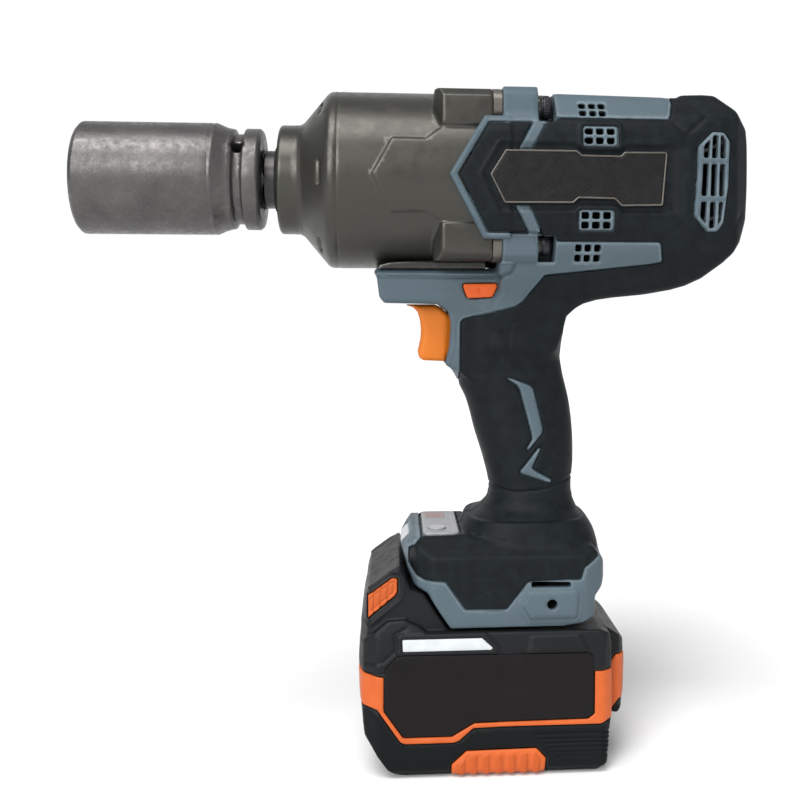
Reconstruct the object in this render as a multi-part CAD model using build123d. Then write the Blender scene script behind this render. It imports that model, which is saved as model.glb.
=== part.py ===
from build123d import *
import math
import os

# ------------------------------------------------------------------ driving dimensions (mm)
# Frame: the drive axis runs along X with the socket toward -X, Z is up, Y is the width.
# Origin: centre of the battery's flat underside.
AZ = 245.5            # height of the drive axis above the battery's underside
SOCKET_R = 24.0       # 32 mm impact socket, 3/4 in drive: outside radius of the mouth
SOCKET_RING_R = 21.8  # drive-end ring radius
SOCKET_NECK_R = 19.4  # bottom of the retaining groove
SOCKET_X0 = -173.6    # mouth of the socket
SOCKET_X1 = -96.8     # drive end of the socket
HEX_AF = 32.0         # hex across flats
HEX_DEPTH = 42.0
SQUARE = 19.05        # 3/4 in square drive
SQUARE_ROLL = 38.0    # rest angle of the square about the drive axis, degrees
JOURNAL_R = 12.5      # anvil journal
CASE_R = 38.1         # hammer case outside radius
CASE_BORE_R = 33.0
NOSE_R = 23.5
CASE_X0 = -89.6
CASE_X1 = -0.3
LUG_Y = 27.5          # hammer-case screw positions
LUG_Z = 28.5
LUG_R = 7.2
PLATE_X1 = 3.4        # rear face of the mounting plate
HALF_W = 40.5         # motor housing half width
SKIN = 1.5            # rubber overmould thickness
WALL = 2.6            # nylon wall thickness under the skin
GEAR_M = 1.0          # gear module
SUN_N, PLANET_N, RING_N = 9, 18, 45
PLANET_CR = GEAR_M * (SUN_N + PLANET_N) / 2
GRIP_HALF = 17.0      # handle half width
FOOT_HALF = 35.0      # foot half width
BATT_HALF = 38.0      # battery half width
BATT_TOP = 59.0       # rail deck of the battery
CELL_R, CELL_L = 9.2, 65.0
CELL_PITCH = 19.0
TRIGGER_TRAVEL = 6.0
HAMMER_TRAVEL = 9.0

os.makedirs("parts", exist_ok=True)
NODES = {}


def xcyl(x0, x1, r, y=0.0, z=AZ):
    """Round bar along X."""
    return Location((x0, y, z), (0, 90, 0)) * Cylinder(r, x1 - x0, align=(Align.CENTER, Align.CENTER, Align.MIN))


def xtube(x0, x1, r, ri, y=0.0, z=AZ):
    return xcyl(x0, x1, r, y, z) - xcyl(x0 - 1, x1 + 1, ri, y, z)


def ycyl(y0, y1, r, x, z):
    """Round bar along Y."""
    return Location((x, y1, z), (90, 0, 0)) * Cylinder(r, y1 - y0, align=(Align.CENTER, Align.CENTER, Align.MIN))


def zcyl(z0, z1, r, x, y):
    return Location((x, y, z0)) * Cylinder(r, z1 - z0, align=(Align.CENTER, Align.CENTER, Align.MIN))


def block(x0, x1, y0, y1, z0, z1):
    return Location(((x0 + x1) / 2, (y0 + y1) / 2, (z0 + z1) / 2)) * Box(x1 - x0, y1 - y0, z1 - z0)


def side_face(pts, r=0.0):
    """Closed outline in side view, (x, z) points, on the Y=0 plane."""
    f = make_face(Polyline(*[(p[0], p[1]) for p in pts], close=True))
    if r > 0:
        f = fillet(f.vertices(), r)
    return f


def prism_y(face, y0, y1):
    """Extrude a side-view outline (sketch X=x, sketch Y=z) between two widths."""
    s = extrude(face, y1 - y0)
    return Location((0, y1, 0), (90, 0, 0)) * s


def side_prism(pts, y0, y1, r=0.0):
    return prism_y(side_face(pts, r), y0, y1)


def section_prism(pts, x0, x1, r=0.0, off=0.0):
    """Extrude a cross-section, (y, z) points, along X."""
    f = side_face(pts, r)
    if off:
        f = offset(f, off)
    s = extrude(f, x1 - x0)
    return Plane(origin=(x0, 0, 0), x_dir=(0, 1, 0), z_dir=(1, 0, 0)).location * s


def plan_prism(pts, z0, z1, r=0.0, off=0.0):
    """Extrude a plan outline, (x, y) points, along Z."""
    f = side_face(pts, r)
    if off:
        f = offset(f, off)
    return Location((0, 0, z0)) * extrude(f, z1 - z0)


def mirror_pts(pts):
    return pts + [(-y, z) for y, z in reversed(pts)]


def revolve_x(pts):
    """Solid of revolution about the drive axis from (x, radius) points."""
    f = make_face(Polyline(*[(p[0], p[1]) for p in pts], close=True))
    s = revolve(f, Axis.X, 360)
    return Location((0, 0, AZ)) * s


def both(shape):
    """The shape and its mirror image across the Y=0 plane."""
    return [shape, mirror(shape, Plane.XZ)]


def keep(name, shape):
    if isinstance(shape, (list, tuple)):
        sol = []
        for s in shape:
            sol += list(s.solids())
    else:
        sol = list(shape.solids())
    sol = [s for s in sol if s.volume > 0.05]
    NODES[name] = sol[0] if len(sol) == 1 else Compound(children=sol)
    return NODES[name]


# ------------------------------------------------------------------ drive end
sock = revolve_x([(SOCKET_X0, 0), (SOCKET_X0, SOCKET_R - 1.6), (SOCKET_X0 + 1.6, SOCKET_R), (-116.2, SOCKET_R),
                  (-111.4, SOCKET_RING_R), (-108.4, SOCKET_RING_R - 0.4), (-107.6, SOCKET_NECK_R), (-104.6, SOCKET_NECK_R),
                  (-103.8, SOCKET_RING_R), (SOCKET_X1 - 1.2, SOCKET_RING_R), (SOCKET_X1, SOCKET_RING_R - 1.2), (SOCKET_X1, 0)])
hexcut = Location((SOCKET_X0 - 1, 0, AZ), (0, 90, 0)) * extrude(RegularPolygon(HEX_AF / 2, 6, major_radius=False), HEX_DEPTH + 1)
lead = Location((SOCKET_X0 + 1.5, 0, AZ), (0, 90, 0)) * Cone(20.2, 15.0, 6.0)
relief = xcyl(SOCKET_X0 + HEX_DEPTH - 0.5, -123.0, 15.0)
sq_axis = Location((0, 0, AZ), (SQUARE_ROLL, 0, 0))


def square_bar(x0, x1, w):
    return Location((0, 0, AZ), (-SQUARE_ROLL, 0, 0)) * (Location(((x0 + x1) / 2, 0, 0)) * Box(x1 - x0, w, w))


cross = Location((0, 0, AZ), (-SQUARE_ROLL, 0, 0)) * (Location((-106.1, 0, 0), (90, 0, 0)) * Cylinder(2.8, 60))
sock = sock - hexcut - lead - relief - square_bar(-124.0, SOCKET_X1 + 1, SQUARE + 0.25) - cross
keep("impact_socket", sock)

anvil = square_bar(-122.4, -95.0, SQUARE - 0.05) & xcyl(-123, -94, 12.6)
anvil = anvil + revolve_x([(-96.6, 0), (-96.6, 10.5), (-95.4, JOURNAL_R), (-61.8, JOURNAL_R), (-61.8, 15.5), (-52.2, 15.5), (-52.2, 0)])
wing = block(-60.8, -52.2, -7.5, 7.5, AZ - 26.0, AZ + 26.0) & xcyl(-62, -50, 26.0)
anvil = anvil + wing
anvil = anvil - xcyl(-64.0, -50.0, 5.05)
pin_hole = Location((0, 0, AZ), (-SQUARE_ROLL, 0, 0)) * (Location((-106.1, 0, 0), (90, 0, 0)) * Cylinder(2.8, 60))
anvil = anvil - xtube(-119.4, -117.2, 14.0, 8.2) - pin_hole
keep("anvil", anvil)
keep("anvil_ring", (xtube(-119.2, -117.4, 9.6, 8.25)) - block(-120, -116, -1.2, 1.2, AZ, AZ + 20))

keep("nose_bushing", xtube(-84.6, -63.2, 16.0, JOURNAL_R + 0.05))
keep("nose_seal", revolve_x([(-91.4, 12.8), (-85.0, 12.8), (-85.0, 17.0), (-88.2, 17.0), (-89.6, 15.6), (-91.4, 13.8)]))

case = revolve_x([(CASE_X0, 17.3), (CASE_X0, NOSE_R - 1.0), (CASE_X0 + 1.0, NOSE_R), (-81.0, NOSE_R), (-79.0, 24.4),
                  (-69.6, 36.0), (-68.4, 37.3), (-66.4, CASE_R), (CASE_X1, CASE_R), (CASE_X1, CASE_BORE_R), (-60.0, CASE_BORE_R),
                  (-62.6, 30.0), (-62.6, 16.0), (-84.8, 16.0), (-84.8, 17.3)])
for sy in (-1, 1):
    for sz in (-1, 1):
        lug = xcyl(-23.5, CASE_X1, LUG_R, sy * LUG_Y, AZ + sz * LUG_Z)
        foot = block(-23.5, CASE_X1, min(sy * 20, sy * 33), max(sy * 20, sy * 33), min(AZ + sz * 20, AZ + sz * 34.0), max(AZ + sz * 20, AZ + sz * 34.0))
        case = case + ((lug + foot) - xcyl(-30, 2, CASE_BORE_R))
        case = case - xcyl(-19.0, 2, 2.9, sy * LUG_Y, AZ + sz * LUG_Z)
# cast pockets in the cone, six round the nose
for k in range(6):
    case = case - (Location((0, 0, AZ), (60 * k + 30, 0, 0)) * block(-76.5, -70.6, -5.5, 5.5, 32.4, 40.0))
keep("hammer_case", case)

keep("mount_plate", (sum([xcyl(CASE_X1 + 0.1, PLATE_X1, LUG_R + 0.3, sy * LUG_Y, AZ + sz * LUG_Z) for sy in (-1, 1) for sz in (-1, 1)],
                         start=xcyl(CASE_X1 + 0.1, PLATE_X1, CASE_R - 0.4)))
     - xcyl(-3, 6, CASE_BORE_R)
     - sum([xcyl(-3, 6, 3.2, sy * LUG_Y, AZ + sz * LUG_Z) for sy in (-1, 1) for sz in (-1, 1)], start=xcyl(-3, -2.9, 1)))

SCREW_X = 18.3
screws = []
for sy in (-1, 1):
    for sz in (-1, 1):
        y, z = sy * LUG_Y, AZ + sz * LUG_Z
        s = xcyl(SCREW_X, SCREW_X + 6.0, 5.0, y, z) + xcyl(-17.0, SCREW_X, 2.85, y, z)
        s = s - (Location((SCREW_X + 3.0, y, z), (0, 90, 0)) * extrude(RegularPolygon(2.5, 6, major_radius=False), 4))
        s = s & xcyl(-18, 30, 5.0, y, z)
        screws.append(s)
keep("case_screws", screws)

# ------------------------------------------------------------------ gears


def involute_pts(rb, r0, r1, n=6):
    out = []
    for i in range(n):
        r = r0 + (r1 - r0) * i / (n - 1)
        if r <= rb:
            out.append((r, 0.0))
        else:
            a = math.acos(rb / r)
            out.append((r, math.tan(a) - a))
    return out


def gear_outline(n, ra, rf, thin, internal=False):
    """Outline of a spur gear with one tooth on +X; for a ring gear, the outline of the hole."""
    rp = GEAR_M * n / 2
    al = math.radians(20)
    rb = rp * math.cos(al)
    inv = math.tan(al) - al
    half = math.pi / (2 * n) - thin / rp / 2
    lo, hi = (ra, rf) if internal else (rf, ra)
    prof = involute_pts(rb, lo, hi)
    pts = []
    for k in range(n):
        c = 2 * math.pi * k / n
        fl = []
        for r, t in prof:
            a = (half - (t - inv)) if not internal else (half + (t - inv))
            fl.append((r, a))
        if internal:
            fl = [(r, a) for r, a in fl]
            seq = [(r, -a) for r, a in reversed(fl)] + [(r, a) for r, a in fl]
        else:
            seq = [(r, -a) for r, a in fl] + [(r, a) for r, a in reversed(fl)]
        pts += [(r * math.cos(c + a), r * math.sin(c + a)) for r, a in seq]
    return pts


def gear_solid(n, ra, rf, thin, x0, x1, y=0.0, z=AZ, roll=0.0):
    f = make_face(Polyline(*gear_outline(n, ra, rf, thin), close=True))
    s = extrude(f, x1 - x0)
    return Plane(origin=(x0, y, z), x_dir=(0, math.cos(math.radians(roll)), math.sin(math.radians(roll))), z_dir=(1, 0, 0)).location * s


GX0, GX1 = -3.6, 5.0
keep("sun_pinion", gear_solid(SUN_N, 5.4, 3.3, 0.12, GX0, GX1) + xcyl(GX1, 8.5, 3.9) - xcyl(GX0 - 1, 9, 2.0))
for i, nm in enumerate(("planet_a", "planet_b", "planet_c")):
    a = math.radians(120 * i)
    y, z = PLANET_CR * math.cos(a), AZ + PLANET_CR * math.sin(a)
    keep(nm, gear_solid(PLANET_N, 9.58, 7.75, 0.12, GX0, GX1, y, z, 120 * i + 10) - xcyl(GX0 - 1, GX1 + 1, 3.12, y, z))
ringhole = make_face(Polyline(*gear_outline(RING_N, 21.95, 23.6, 0.12, True), close=True))
ringcut = Plane(origin=(GX0 - 2, 0, AZ), x_dir=(0, 1, 0), z_dir=(1, 0, 0)).location * extrude(ringhole, GX1 - GX0 + 5)
keep("ring_gear", xcyl(GX0, GX1 + 0.6, 27.5) - ringcut)
keep("planet_pins", [xcyl(-8.0, 8.2, 3.0, PLANET_CR * math.cos(math.radians(120 * i)), AZ + PLANET_CR * math.sin(math.radians(120 * i))) for i in range(3)])

# spindle with planet carrier: nose pilot, cam journal, front flange, three bridges, rear plate, hub
spindle = revolve_x([(-63.6, 0), (-63.6, 5.0), (-51.6, 5.0), (-51.6, 12.0), (-11.5, 12.0), (-11.5, 21.0), (-4.2, 21.0), (-4.2, 0)])
spindle = spindle + xtube(5.6, 9.2, 20.6, 6.3) + xtube(9.2, 16.0, 14.95, 6.3)
for i in range(3):
    spindle = spindle + (Location((0, 0, AZ), (120 * i + 60, 0, 0)) * block(-5.0, 6.4, 12.6, 20.2, -3.2, 3.2))
spindle = spindle - xcyl(-4.4, 17, 6.3) - xcyl(-9, 6, 6.3)
for i in range(3):
    y, z = PLANET_CR * math.cos(math.radians(120 * i)), AZ + PLANET_CR * math.sin(math.radians(120 * i))
    spindle = spindle - xcyl(-8.2, 10, 3.0, y, z)
# two ball grooves on the cam journal, 4.8 mm balls
for sgn in (-1, 1):
    spindle = spindle - (Location((-38.0, 0, AZ + sgn * 12.0)) * Sphere(2.5)) - xcyl(-38.0, -29.0, 2.5, 0, AZ + sgn * 12.0)
keep("spindle", spindle)
keep("cam_balls", [Location((-38.0, 0, AZ + sgn * 12.0)) * Sphere(2.38) for sgn in (-1, 1)])

hammer = revolve_x([(-50.6, 12.06), (-50.6, 30.6), (-49.6, 31.6), (-25.6, 31.6), (-24.6, 30.6), (-24.6, 23.6), (-36.0, 23.6), (-36.0, 14.6),
                    (-30.5, 14.6), (-30.5, 12.06)])
for k in (0, 1):
    lugb = block(-60.4, -50.0, 16.2, 30.8, -8.0, 8.0) & (Location((0, 0, -AZ)) * xtube(-62, -49, 30.6, 16.2))
    hammer = hammer + (Location((0, 0, AZ), (180 * k, 0, 0)) * lugb)
for sgn in (-1, 1):
    hammer = hammer - (Location((-38.0, 0, AZ + sgn * 12.0)) * Sphere(2.5)) - xcyl(-50.7, -38.0, 2.5, 0, AZ + sgn * 12.0)
keep("hammer", hammer)
keep("thrust_washer", xtube(-13.4, -11.7, 22.4, 12.4))


def coil(x0, x1, r, wire, turns, y=0.0, z=AZ, flip=False):
    """Compression spring along X."""
    h = Helix(pitch=(x1 - x0 - wire) / turns, height=(x1 - x0 - wire), radius=r)
    path = Wire(h.edges())
    prof = Plane(origin=path @ 0, z_dir=path % 0) * Circle(wire / 2)
    s = sweep(prof, path=path)
    return Location((x0 + wire / 2, y, z), (0, 90, 0)) * s


keep("hammer_spring", coil(-35.6, -13.6, 19.0, 4.0, 3.2))

gcase = revolve_x([(GX0 - 0.2, 27.55), (GX0 - 0.2, 32.8), (3.6, 32.8), (3.6, 30.0), (24.6, 30.0), (24.6, 4.9), (17.2, 4.9), (17.2, 20.9), (6.0, 20.9), (6.0, 27.55)])
gcase = gcase - xcyl(17.2, 25.6, 11.0)
gcase = gcase + xtube(16.4, 17.4, 21.2, 8.0)
keep("gear_case", gcase)
keep("carrier_bearing", xtube(9.4, 16.2, 20.85, 17.9) + xtube(9.4, 16.2, 17.2, 15.0) + xtube(11.4, 14.2, 18.2, 16.9))
keep("rotor_bearing_front", xtube(17.5, 24.5, 10.95, 8.9) + xtube(17.5, 24.5, 6.3, 4.0) + xtube(19.5, 22.5, 9.1, 6.2))
keep("rotor_bearing_rear", xtube(80.0, 86.0, 9.45, 7.8) + xtube(80.0, 86.0, 5.9, 4.0) + xtube(82.0, 84.0, 8.0, 5.8))

# ------------------------------------------------------------------ motor
keep("rotor_shaft", xcyl(8.7, 88.6, 3.96) + xcyl(-3.0, 8.7, 1.95))
core = xtube(31.0, 61.0, 14.0, 4.0)
slots = []
for k in range(4):
    slots.append(Location((0, 0, AZ), (90 * k + 45, 0, 0)) * block(30.5, 61.5, -7.2, 7.2, 9.6, 11.8))
for s in slots:
    core = core - s
keep("rotor_core", core)
keep("rotor_magnets", [Location((0, 0, AZ), (90 * k + 45, 0, 0)) * block(31.2, 60.8, -7.1, 7.1, 9.7, 11.7) for k in range(4)])
fan = xtube(69.0, 77.5, 8.5, 4.0) + xtube(69.0, 70.6, 27.0, 4.0)
for k in range(15):
    fan = fan + (Location((0, 0, AZ), (24 * k, 0, 0)) * block(70.0, 77.0, 12.5, 26.6, -0.8, 0.8))
keep("fan", fan)
st = xtube(31.0, 61.0, 29.0, 24.6)
for k in range(6):
    st = st + (Location((0, 0, AZ), (60 * k, 0, 0)) * block(31.0, 61.0, -3.4, 3.4, 15.6, 25.2))
    shoe = (Location((0, 0, -AZ)) * xtube(31.0, 61.0, 17.2, 14.6)) & block(30, 62, -6.2, 6.2, 10.0, 18.0)
    st = st + (Location((0, 0, AZ), (60 * k, 0, 0)) * shoe)
keep("stator", st)
wind = []
for k in range(6):
    ring = block(28.4, 63.6, -5.9, 5.9, 17.8, 23.8) - block(30.9, 61.1, -3.5, 3.5, 17.0, 25.0)
    wind.append(Location((0, 0, AZ), (60 * k, 0, 0)) * ring)
keep("windings", wind)
keep("stator_insulators", [xtube(28.6, 30.9, 28.6, 24.7), xtube(61.1, 63.4, 28.6, 24.7)])
keep("hall_board", xtube(64.6, 66.2, 27.0, 9.5) - block(64, 67, -30, 30, AZ - 30, AZ - 12))

# ------------------------------------------------------------------ housing outer form
BODY = [(3.6, 282.6), (28.2, 282.4), (78.0, 281.4), (80.2, 283.2), (89.0, 283.7), (94.0, 283.2), (109.0, 268.4), (110.8, 260.0),
        (111.5, 251.0), (111.0, 243.0), (109.0, 228.0), (104.8, 218.4), (96.8, 209.7), (88.8, 203.2), (82.5, 200.1), (76.8, 198.4),
        (65.4, 196.3), (52.4, 195.0), (45.6, 194.0), (40.0, 192.4), (36.6, 190.4), (33.0, 187.0), (31.5, 180.0), (28.0, 172.0), (0.0, 172.0), (-11.0, 180.0), (3.6, 196.0)]
SECTION = [(20.0, 283.9), (27.5, 281.0), (36.5, 271.0), (HALF_W, 264.0), (HALF_W, 226.0), (36.0, 214.0), (28.0, 202.0), (21.0, 193.0), (17.0, 180.0), (17.0, 170.0)]
PLAN = [(0.0, -HALF_W), (88.0, -HALF_W), (103.0, -36.0), (109.5, -27.0), (111.8, -15.0), (111.8, 15.0), (109.5, 27.0), (103.0, 36.0), (88.0, HALF_W), (0.0, HALF_W)]
# lower front beam with the trigger guard web
BEAM = [(-48.2, 205.6), (-46.8, 195.0), (-44.8, 192.4), (-21.6, 191.9), (-17.6, 188.8), (-16.4, 184.0), (-17.0, 174.0), (-18.8, 166.0), (-16.0, 164.2), (-9.0, 164.0),
        (-9.0, 187.0), (10.4, 191.0), (13.4, 193.1), (21.9, 204.2), (8.0, 207.2), (-47.8, 207.2)]
BEAM_SEC = [(8.0, 208.0), (15.0, 206.8), (18.0, 203.0), (18.0, 194.0), (16.0, 188.0), (16.0, 160.0)]
# handle: rounded sections stacked in height (z, front x, back x, half width)
HANDLE = [(192.0, -11.0, 31.5, 17.5), (176.0, -12.4, 31.4, 17.0), (163.0, -14.2, 33.2, 17.0), (150.0, -8.8, 36.2, 17.2), (136.5, -5.1, 37.8, 17.6),
          (124.0, -1.2, 38.0, 17.8), (112.0, 1.3, 37.2, 17.8), (104.0, -1.5, 39.0, 19.0)]
# collar flaring from the handle to the foot
COLLAR = [(106.0, -3.0, 39.0, 19.0), (101.5, -7.6, 42.4, 24.2), (97.0, -11.2, 45.0, 28.2), (93.0, -13.6, 46.2, 30.2), (88.0, -17.0, 47.2, 33.2), (80.0, -17.0, 47.2, 33.2)]
FOOT = [(-37.6, 90.6), (-32.6, 95.6), (-12.0, 96.2), (-4.0, 96.0), (42.0, 92.0), (47.0, 86.0), (48.0, 84.0), (48.0, 77.0), (42.8, 71.4), (42.6, 63.2), (37.0, 61.2), (29.5, 60.0),
        (-17.1, 59.8), (-21.4, 66.3), (-26.5, 74.2), (-32.3, 76.5), (-35.0, 82.0), (-35.9, 85.0)]
FOOT_SEC = [(14.0, 104.0), (20.0, 102.8), (25.4, 96.2), (FOOT_HALF + 1.0, 88.2), (FOOT_HALF + 1.0, 64.0), (FOOT_HALF, 59.0)]
# black cover on the foot: everything above and behind this line
COVER = [(-28.0, 110.0), (-28.0, 96.0), (-33.8, 90.4), (-34.0, 84.2), (-31.1, 81.0), (-27.8, 79.6), (-19.4, 79.2), (-11.2, 67.6), (5.7, 67.4), (14.4, 78.4), (36.6, 79.2),
         (38.0, 83.9), (44.0, 87.9), (60.0, 95.0), (60.0, 130.0), (-13.7, 130.0)]


def inset(pts, off):
    f = side_face(pts)
    return offset(f, -off, kind=Kind.INTERSECTION) if off else f


def along_x(face, x0, length):
    return Plane(origin=(x0, 0, 0), x_dir=(0, 1, 0), z_dir=(1, 0, 0)).location * extrude(face, length)


def form(off):
    """Motor-housing barrel, shrunk inward by off."""
    return prism_y(inset(BODY, off), -60, 60) & along_x(inset(mirror_pts(SECTION), off), 0, 115) & (Location((0, 0, 150)) * extrude(inset(PLAN, off), 150))


def stacked(rows, off, corner, ruled):
    secs = []
    for z, xf, xb, hw in rows:
        w, d = xb - xf - 2 * off, 2 * (hw - off)
        secs.append(Location(((xf + xb) / 2, 0, z)) * RectangleRounded(w, d, corner - off if corner else min(w, d) * 0.46))
    return loft(secs, ruled=ruled)


def handle(off):
    return stacked(HANDLE, off, 0, False)


def collar(off):
    return stacked(COLLAR, off, 12.0, True)


def foot_form(off):
    return prism_y(inset(FOOT, off), -60, 60) & along_x(inset(mirror_pts(FOOT_SEC), off), -60, 160)


def beam(off):
    return prism_y(inset(BEAM, off), -60, 60) & along_x(inset(mirror_pts(BEAM_SEC), off), -60, 160)


# tongue that laps over the hammer case on each side
TONGUE = [(-18.4, 244.9), (-3.9, 269.2), (6.0, 269.2), (6.0, 218.8), (-4.3, 218.8)]
tongue = side_prism(TONGUE, -HALF_W, -18.0) - xcyl(-30, 10, CASE_R + 0.15) - xcyl(-24, 3.5, LUG_R + 0.5, -LUG_Y, AZ + LUG_Z) - xcyl(-24, 3.5, LUG_R + 0.5, -LUG_Y, AZ - LUG_Z)
tongue = tongue - block(-24.5, 3.5, -34.5, -18, AZ + 19.5, AZ + 40) - block(-24.5, 3.5, -34.5, -18, AZ - 40, AZ - 19.5)
tongues = tongue + mirror(tongue, Plane.XZ)
TONGUE_BLACK = [(-14.6, 244.9), (-2.2, 265.8), (6.6, 265.8), (6.6, 222.0), (-2.8, 222.0)]

covered = foot_form(0) & side_prism(COVER, -60, 60)
foot_under = (foot_form(0) - covered) + (foot_form(SKIN) & side_prism(COVER, -60, 60))
foot_block = foot_form(0) & block(-60, 60, -60, 60, 50, 75.4)
form0, handle0, collar0, beam0 = form(0), handle(0), collar(0), beam(0)
form1 = form(SKIN)
outer = form0 + handle0 + collar0 + foot_form(0) + beam0
under = form1 + handle(SKIN) + collar(SKIN) + foot_under + beam0
cavity = form(SKIN + WALL) + handle(SKIN + WALL) + (collar(SKIN + WALL) + foot_form(WALL) - block(-60, 60, -60, 60, 50, 75.4)) + beam(WALL)

# housing lugs in front of the screw heads, and pockets behind them for the heads
CORNERS = [(sy * LUG_Y, AZ + sz * LUG_Z, sy, sz) for sy in (-1, 1) for sz in (-1, 1)]
lugs = None
pockets = None
for y, z, sy, sz in CORNERS:
    lg = xcyl(3.6, SCREW_X, LUG_R, y, z)
    pk = xcyl(SCREW_X, 27.0, 6.6, y, z) + xcyl(SCREW_X, 27.0, 6.6, y + sy * 5, z + sz * 5)
    pk = pk + (xcyl(3.5, 27.0, 12.0, y + sy * 9, z + sz * 9) - xcyl(3.4, SCREW_X, LUG_R, y, z))
    lugs = lg if lugs is None else lugs + lg
    pockets = pk if pockets is None else pockets + pk

# regions of the side view where the grey nylon comes through the black skin
TOPSTRIP = [(25.0, 285.0), (74.2, 284.0), (74.5, 275.8), (72.3, 268.4), (25.0, 268.4)]
LOWSTRIP = [(22.4, 218.2), (68.9, 218.0), (70.7, 209.8), (21.0, 205.0), (18.3, 203.4), (8.8, 192.9), (-14.0, 186.0), (-14.0, 208.0), (22.0, 208.0)]
BAND_U = [(16.0, 268.0), (21.4, 268.0), (15.2, 256.1), (10.2, 256.2)]
BAND_L = [(9.0, 231.9), (14.4, 231.8), (19.6, 220.0), (14.6, 220.0)]
REARVENT = [(84.2, 257.4), (90.6, 263.4), (95.2, 263.3), (97.8, 259.8), (97.1, 241.2), (94.9, 226.2), (92.6, 222.9), (88.5, 222.5), (82.4, 228.8), (83.5, 241.1)]
VENT_B = [(36.4, 264.9), (50.6, 264.9), (50.2, 257.2), (36.6, 257.2)]
VENT_C = [(34.8, 230.4), (49.0, 230.4), (48.6, 222.6), (34.6, 222.6)]
NAMEPLATE = [(-2.0, 244.9), (4.2, 254.9), (33.4, 255.0), (35.5, 253.2), (51.5, 253.0), (53.0, 254.6), (70.4, 254.8), (70.8, 253.6), (69.0, 232.7),
             (51.9, 232.3), (49.0, 235.2), (34.2, 235.4), (32.0, 233.4), (3.9, 233.2)]
front_zone = block(-60, 6.0, -60, 60, 186, 300) + block(-60, -9.5, -60, 60, 160, 210)
windows = front_zone - side_prism(TONGUE_BLACK, -60, 60)
for p in (TOPSTRIP, LOWSTRIP, BAND_U, BAND_L, REARVENT, VENT_B, VENT_C):
    windows = windows + side_prism(p, -60, 60)
windows = windows + block(-28.6, -12.2, -24.4, 24.4, 90.0, 100.0)

plate_cut = side_prism(NAMEPLATE, -60, -HALF_W + 0.9)
plate_cut = plate_cut + mirror(plate_cut, Plane.XZ)


def slot_grid(xs, zs, w, h):
    out = None
    for x in xs:
        for z in zs:
            b = block(x - w / 2, x + w / 2, -60, 60, z - h / 2, z + h / 2)
            out = b if out is None else out + b
    return out


vents = slot_grid((36.5, 40.7, 44.4), (274.0, 270.7), 2.7, 2.2)
vents = vents + slot_grid((38.5, 42.9, 47.4), (262.7, 259.1), 3.0, 2.4)
vents = vents + slot_grid((37.1, 41.6, 46.1), (228.5, 224.7), 3.0, 2.6)
vents = vents + slot_grid((34.9, 38.8, 42.8), (215.4, 211.3), 2.5, 2.6)
vents = vents + slot_grid((86.6, 90.4, 94.2), (255.4, 243.6, 230.4), 2.4, 7.4)
vents = vents - block(30, 100, -26, 26, 190, 290)

# battery bay with rails under the foot, open downward and to the front
BAY_TOP = 72.8
bay = block(-60.0, 38.0, -27.6, 27.6, 55.0, BAY_TOP) - block(-28.0, 37.0, -30.0, -24.4, 59.0, 63.2) - block(-28.0, 37.0, 24.4, 30.0, 59.0, 63.2)
trig_slot = block(-40.0, 5.0, -9.6, 9.6, 166.2, 192.6)
FR = [(-11.3, 200.6), (2.5, 200.8), (3.1, 199.5), (1.0, 195.3), (-0.1, 195.0), (-8.9, 194.6), (-10.0, 195.1), (-11.5, 199.4)]
fr_slot = prism_y(offset(side_face(FR), 0.3, kind=Kind.INTERSECTION), -30, 30)

# shallow seat of the speed-mode panel across the top of the foot, in front of the handle
panel_pl = Plane(origin=(-20.5, 0.0, 96.0), x_dir=(1, 0, 0), z_dir=(0, 0, 1))


def on_panel(shape):
    return panel_pl.location * shape


panel_cut = on_panel(Location((0, 0, 10.0)) * Box(15.2, 47.4, 21.6))
lens_cut = block(-45.0, -33.0, -11.2, 11.2, 88.7, 93.9)

# screw bosses (x, z, height of the head face) of the housing halves; heads on the far side
BOSSES = [(99.0, 262.0, 34.0), (99.0, 229.0, 34.0), (58.0, 206.6, 28.5), (27.0, 146.0, 13.6), (6.8, 124.0, 12.8), (40.0, 84.0, 33.5)]
boss = None
boss_holes = None
hscrews = []
for x, z, hy in BOSSES:
    b = ycyl(-hy - 1.0, hy - 2.8, 3.8, x, z) + ycyl(hy - 6.0, hy + 1.0, 5.4, x, z)
    h = ycyl(-hy + 3.0, hy + 1.0, 1.85, x, z) + ycyl(hy - 2.6, 60, 3.7, x, z)
    boss = b if boss is None else boss + b
    boss_holes = h if boss_holes is None else boss_holes + h
    hs = ycyl(hy - 2.6, hy - 0.2, 3.3, x, z) + ycyl(-hy + 5.0, hy - 2.6, 1.8, x, z) - block(x - 2, x + 2, hy - 1.4, hy + 1, z - 0.35, z + 0.35) - block(x - 0.35, x + 0.35, hy - 1.4, hy + 1, z - 2, z + 2)
    hscrews.append(hs)
keep("housing_screws", hscrews)

ribs = (xtube(33.0, 36.0, 60, 29.05) + xtube(56.0, 59.0, 60, 29.05) + xtube(6.0, 9.0, 60, 30.05) + xtube(20.0, 23.0, 60, 30.05)) & form(SKIN + 0.4) & block(0, 70, -60, 60, 209, 300)
web = (block(80.0, 86.4, -45, 45, AZ - 2, AZ + 2) + block(80.0, 86.4, -2, 2, AZ - 45, AZ + 45) + xcyl(80.0, 86.4, 14.0)) & form(SKIN + 0.4)
web = web - xcyl(79, 87.4, 9.5)

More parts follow.
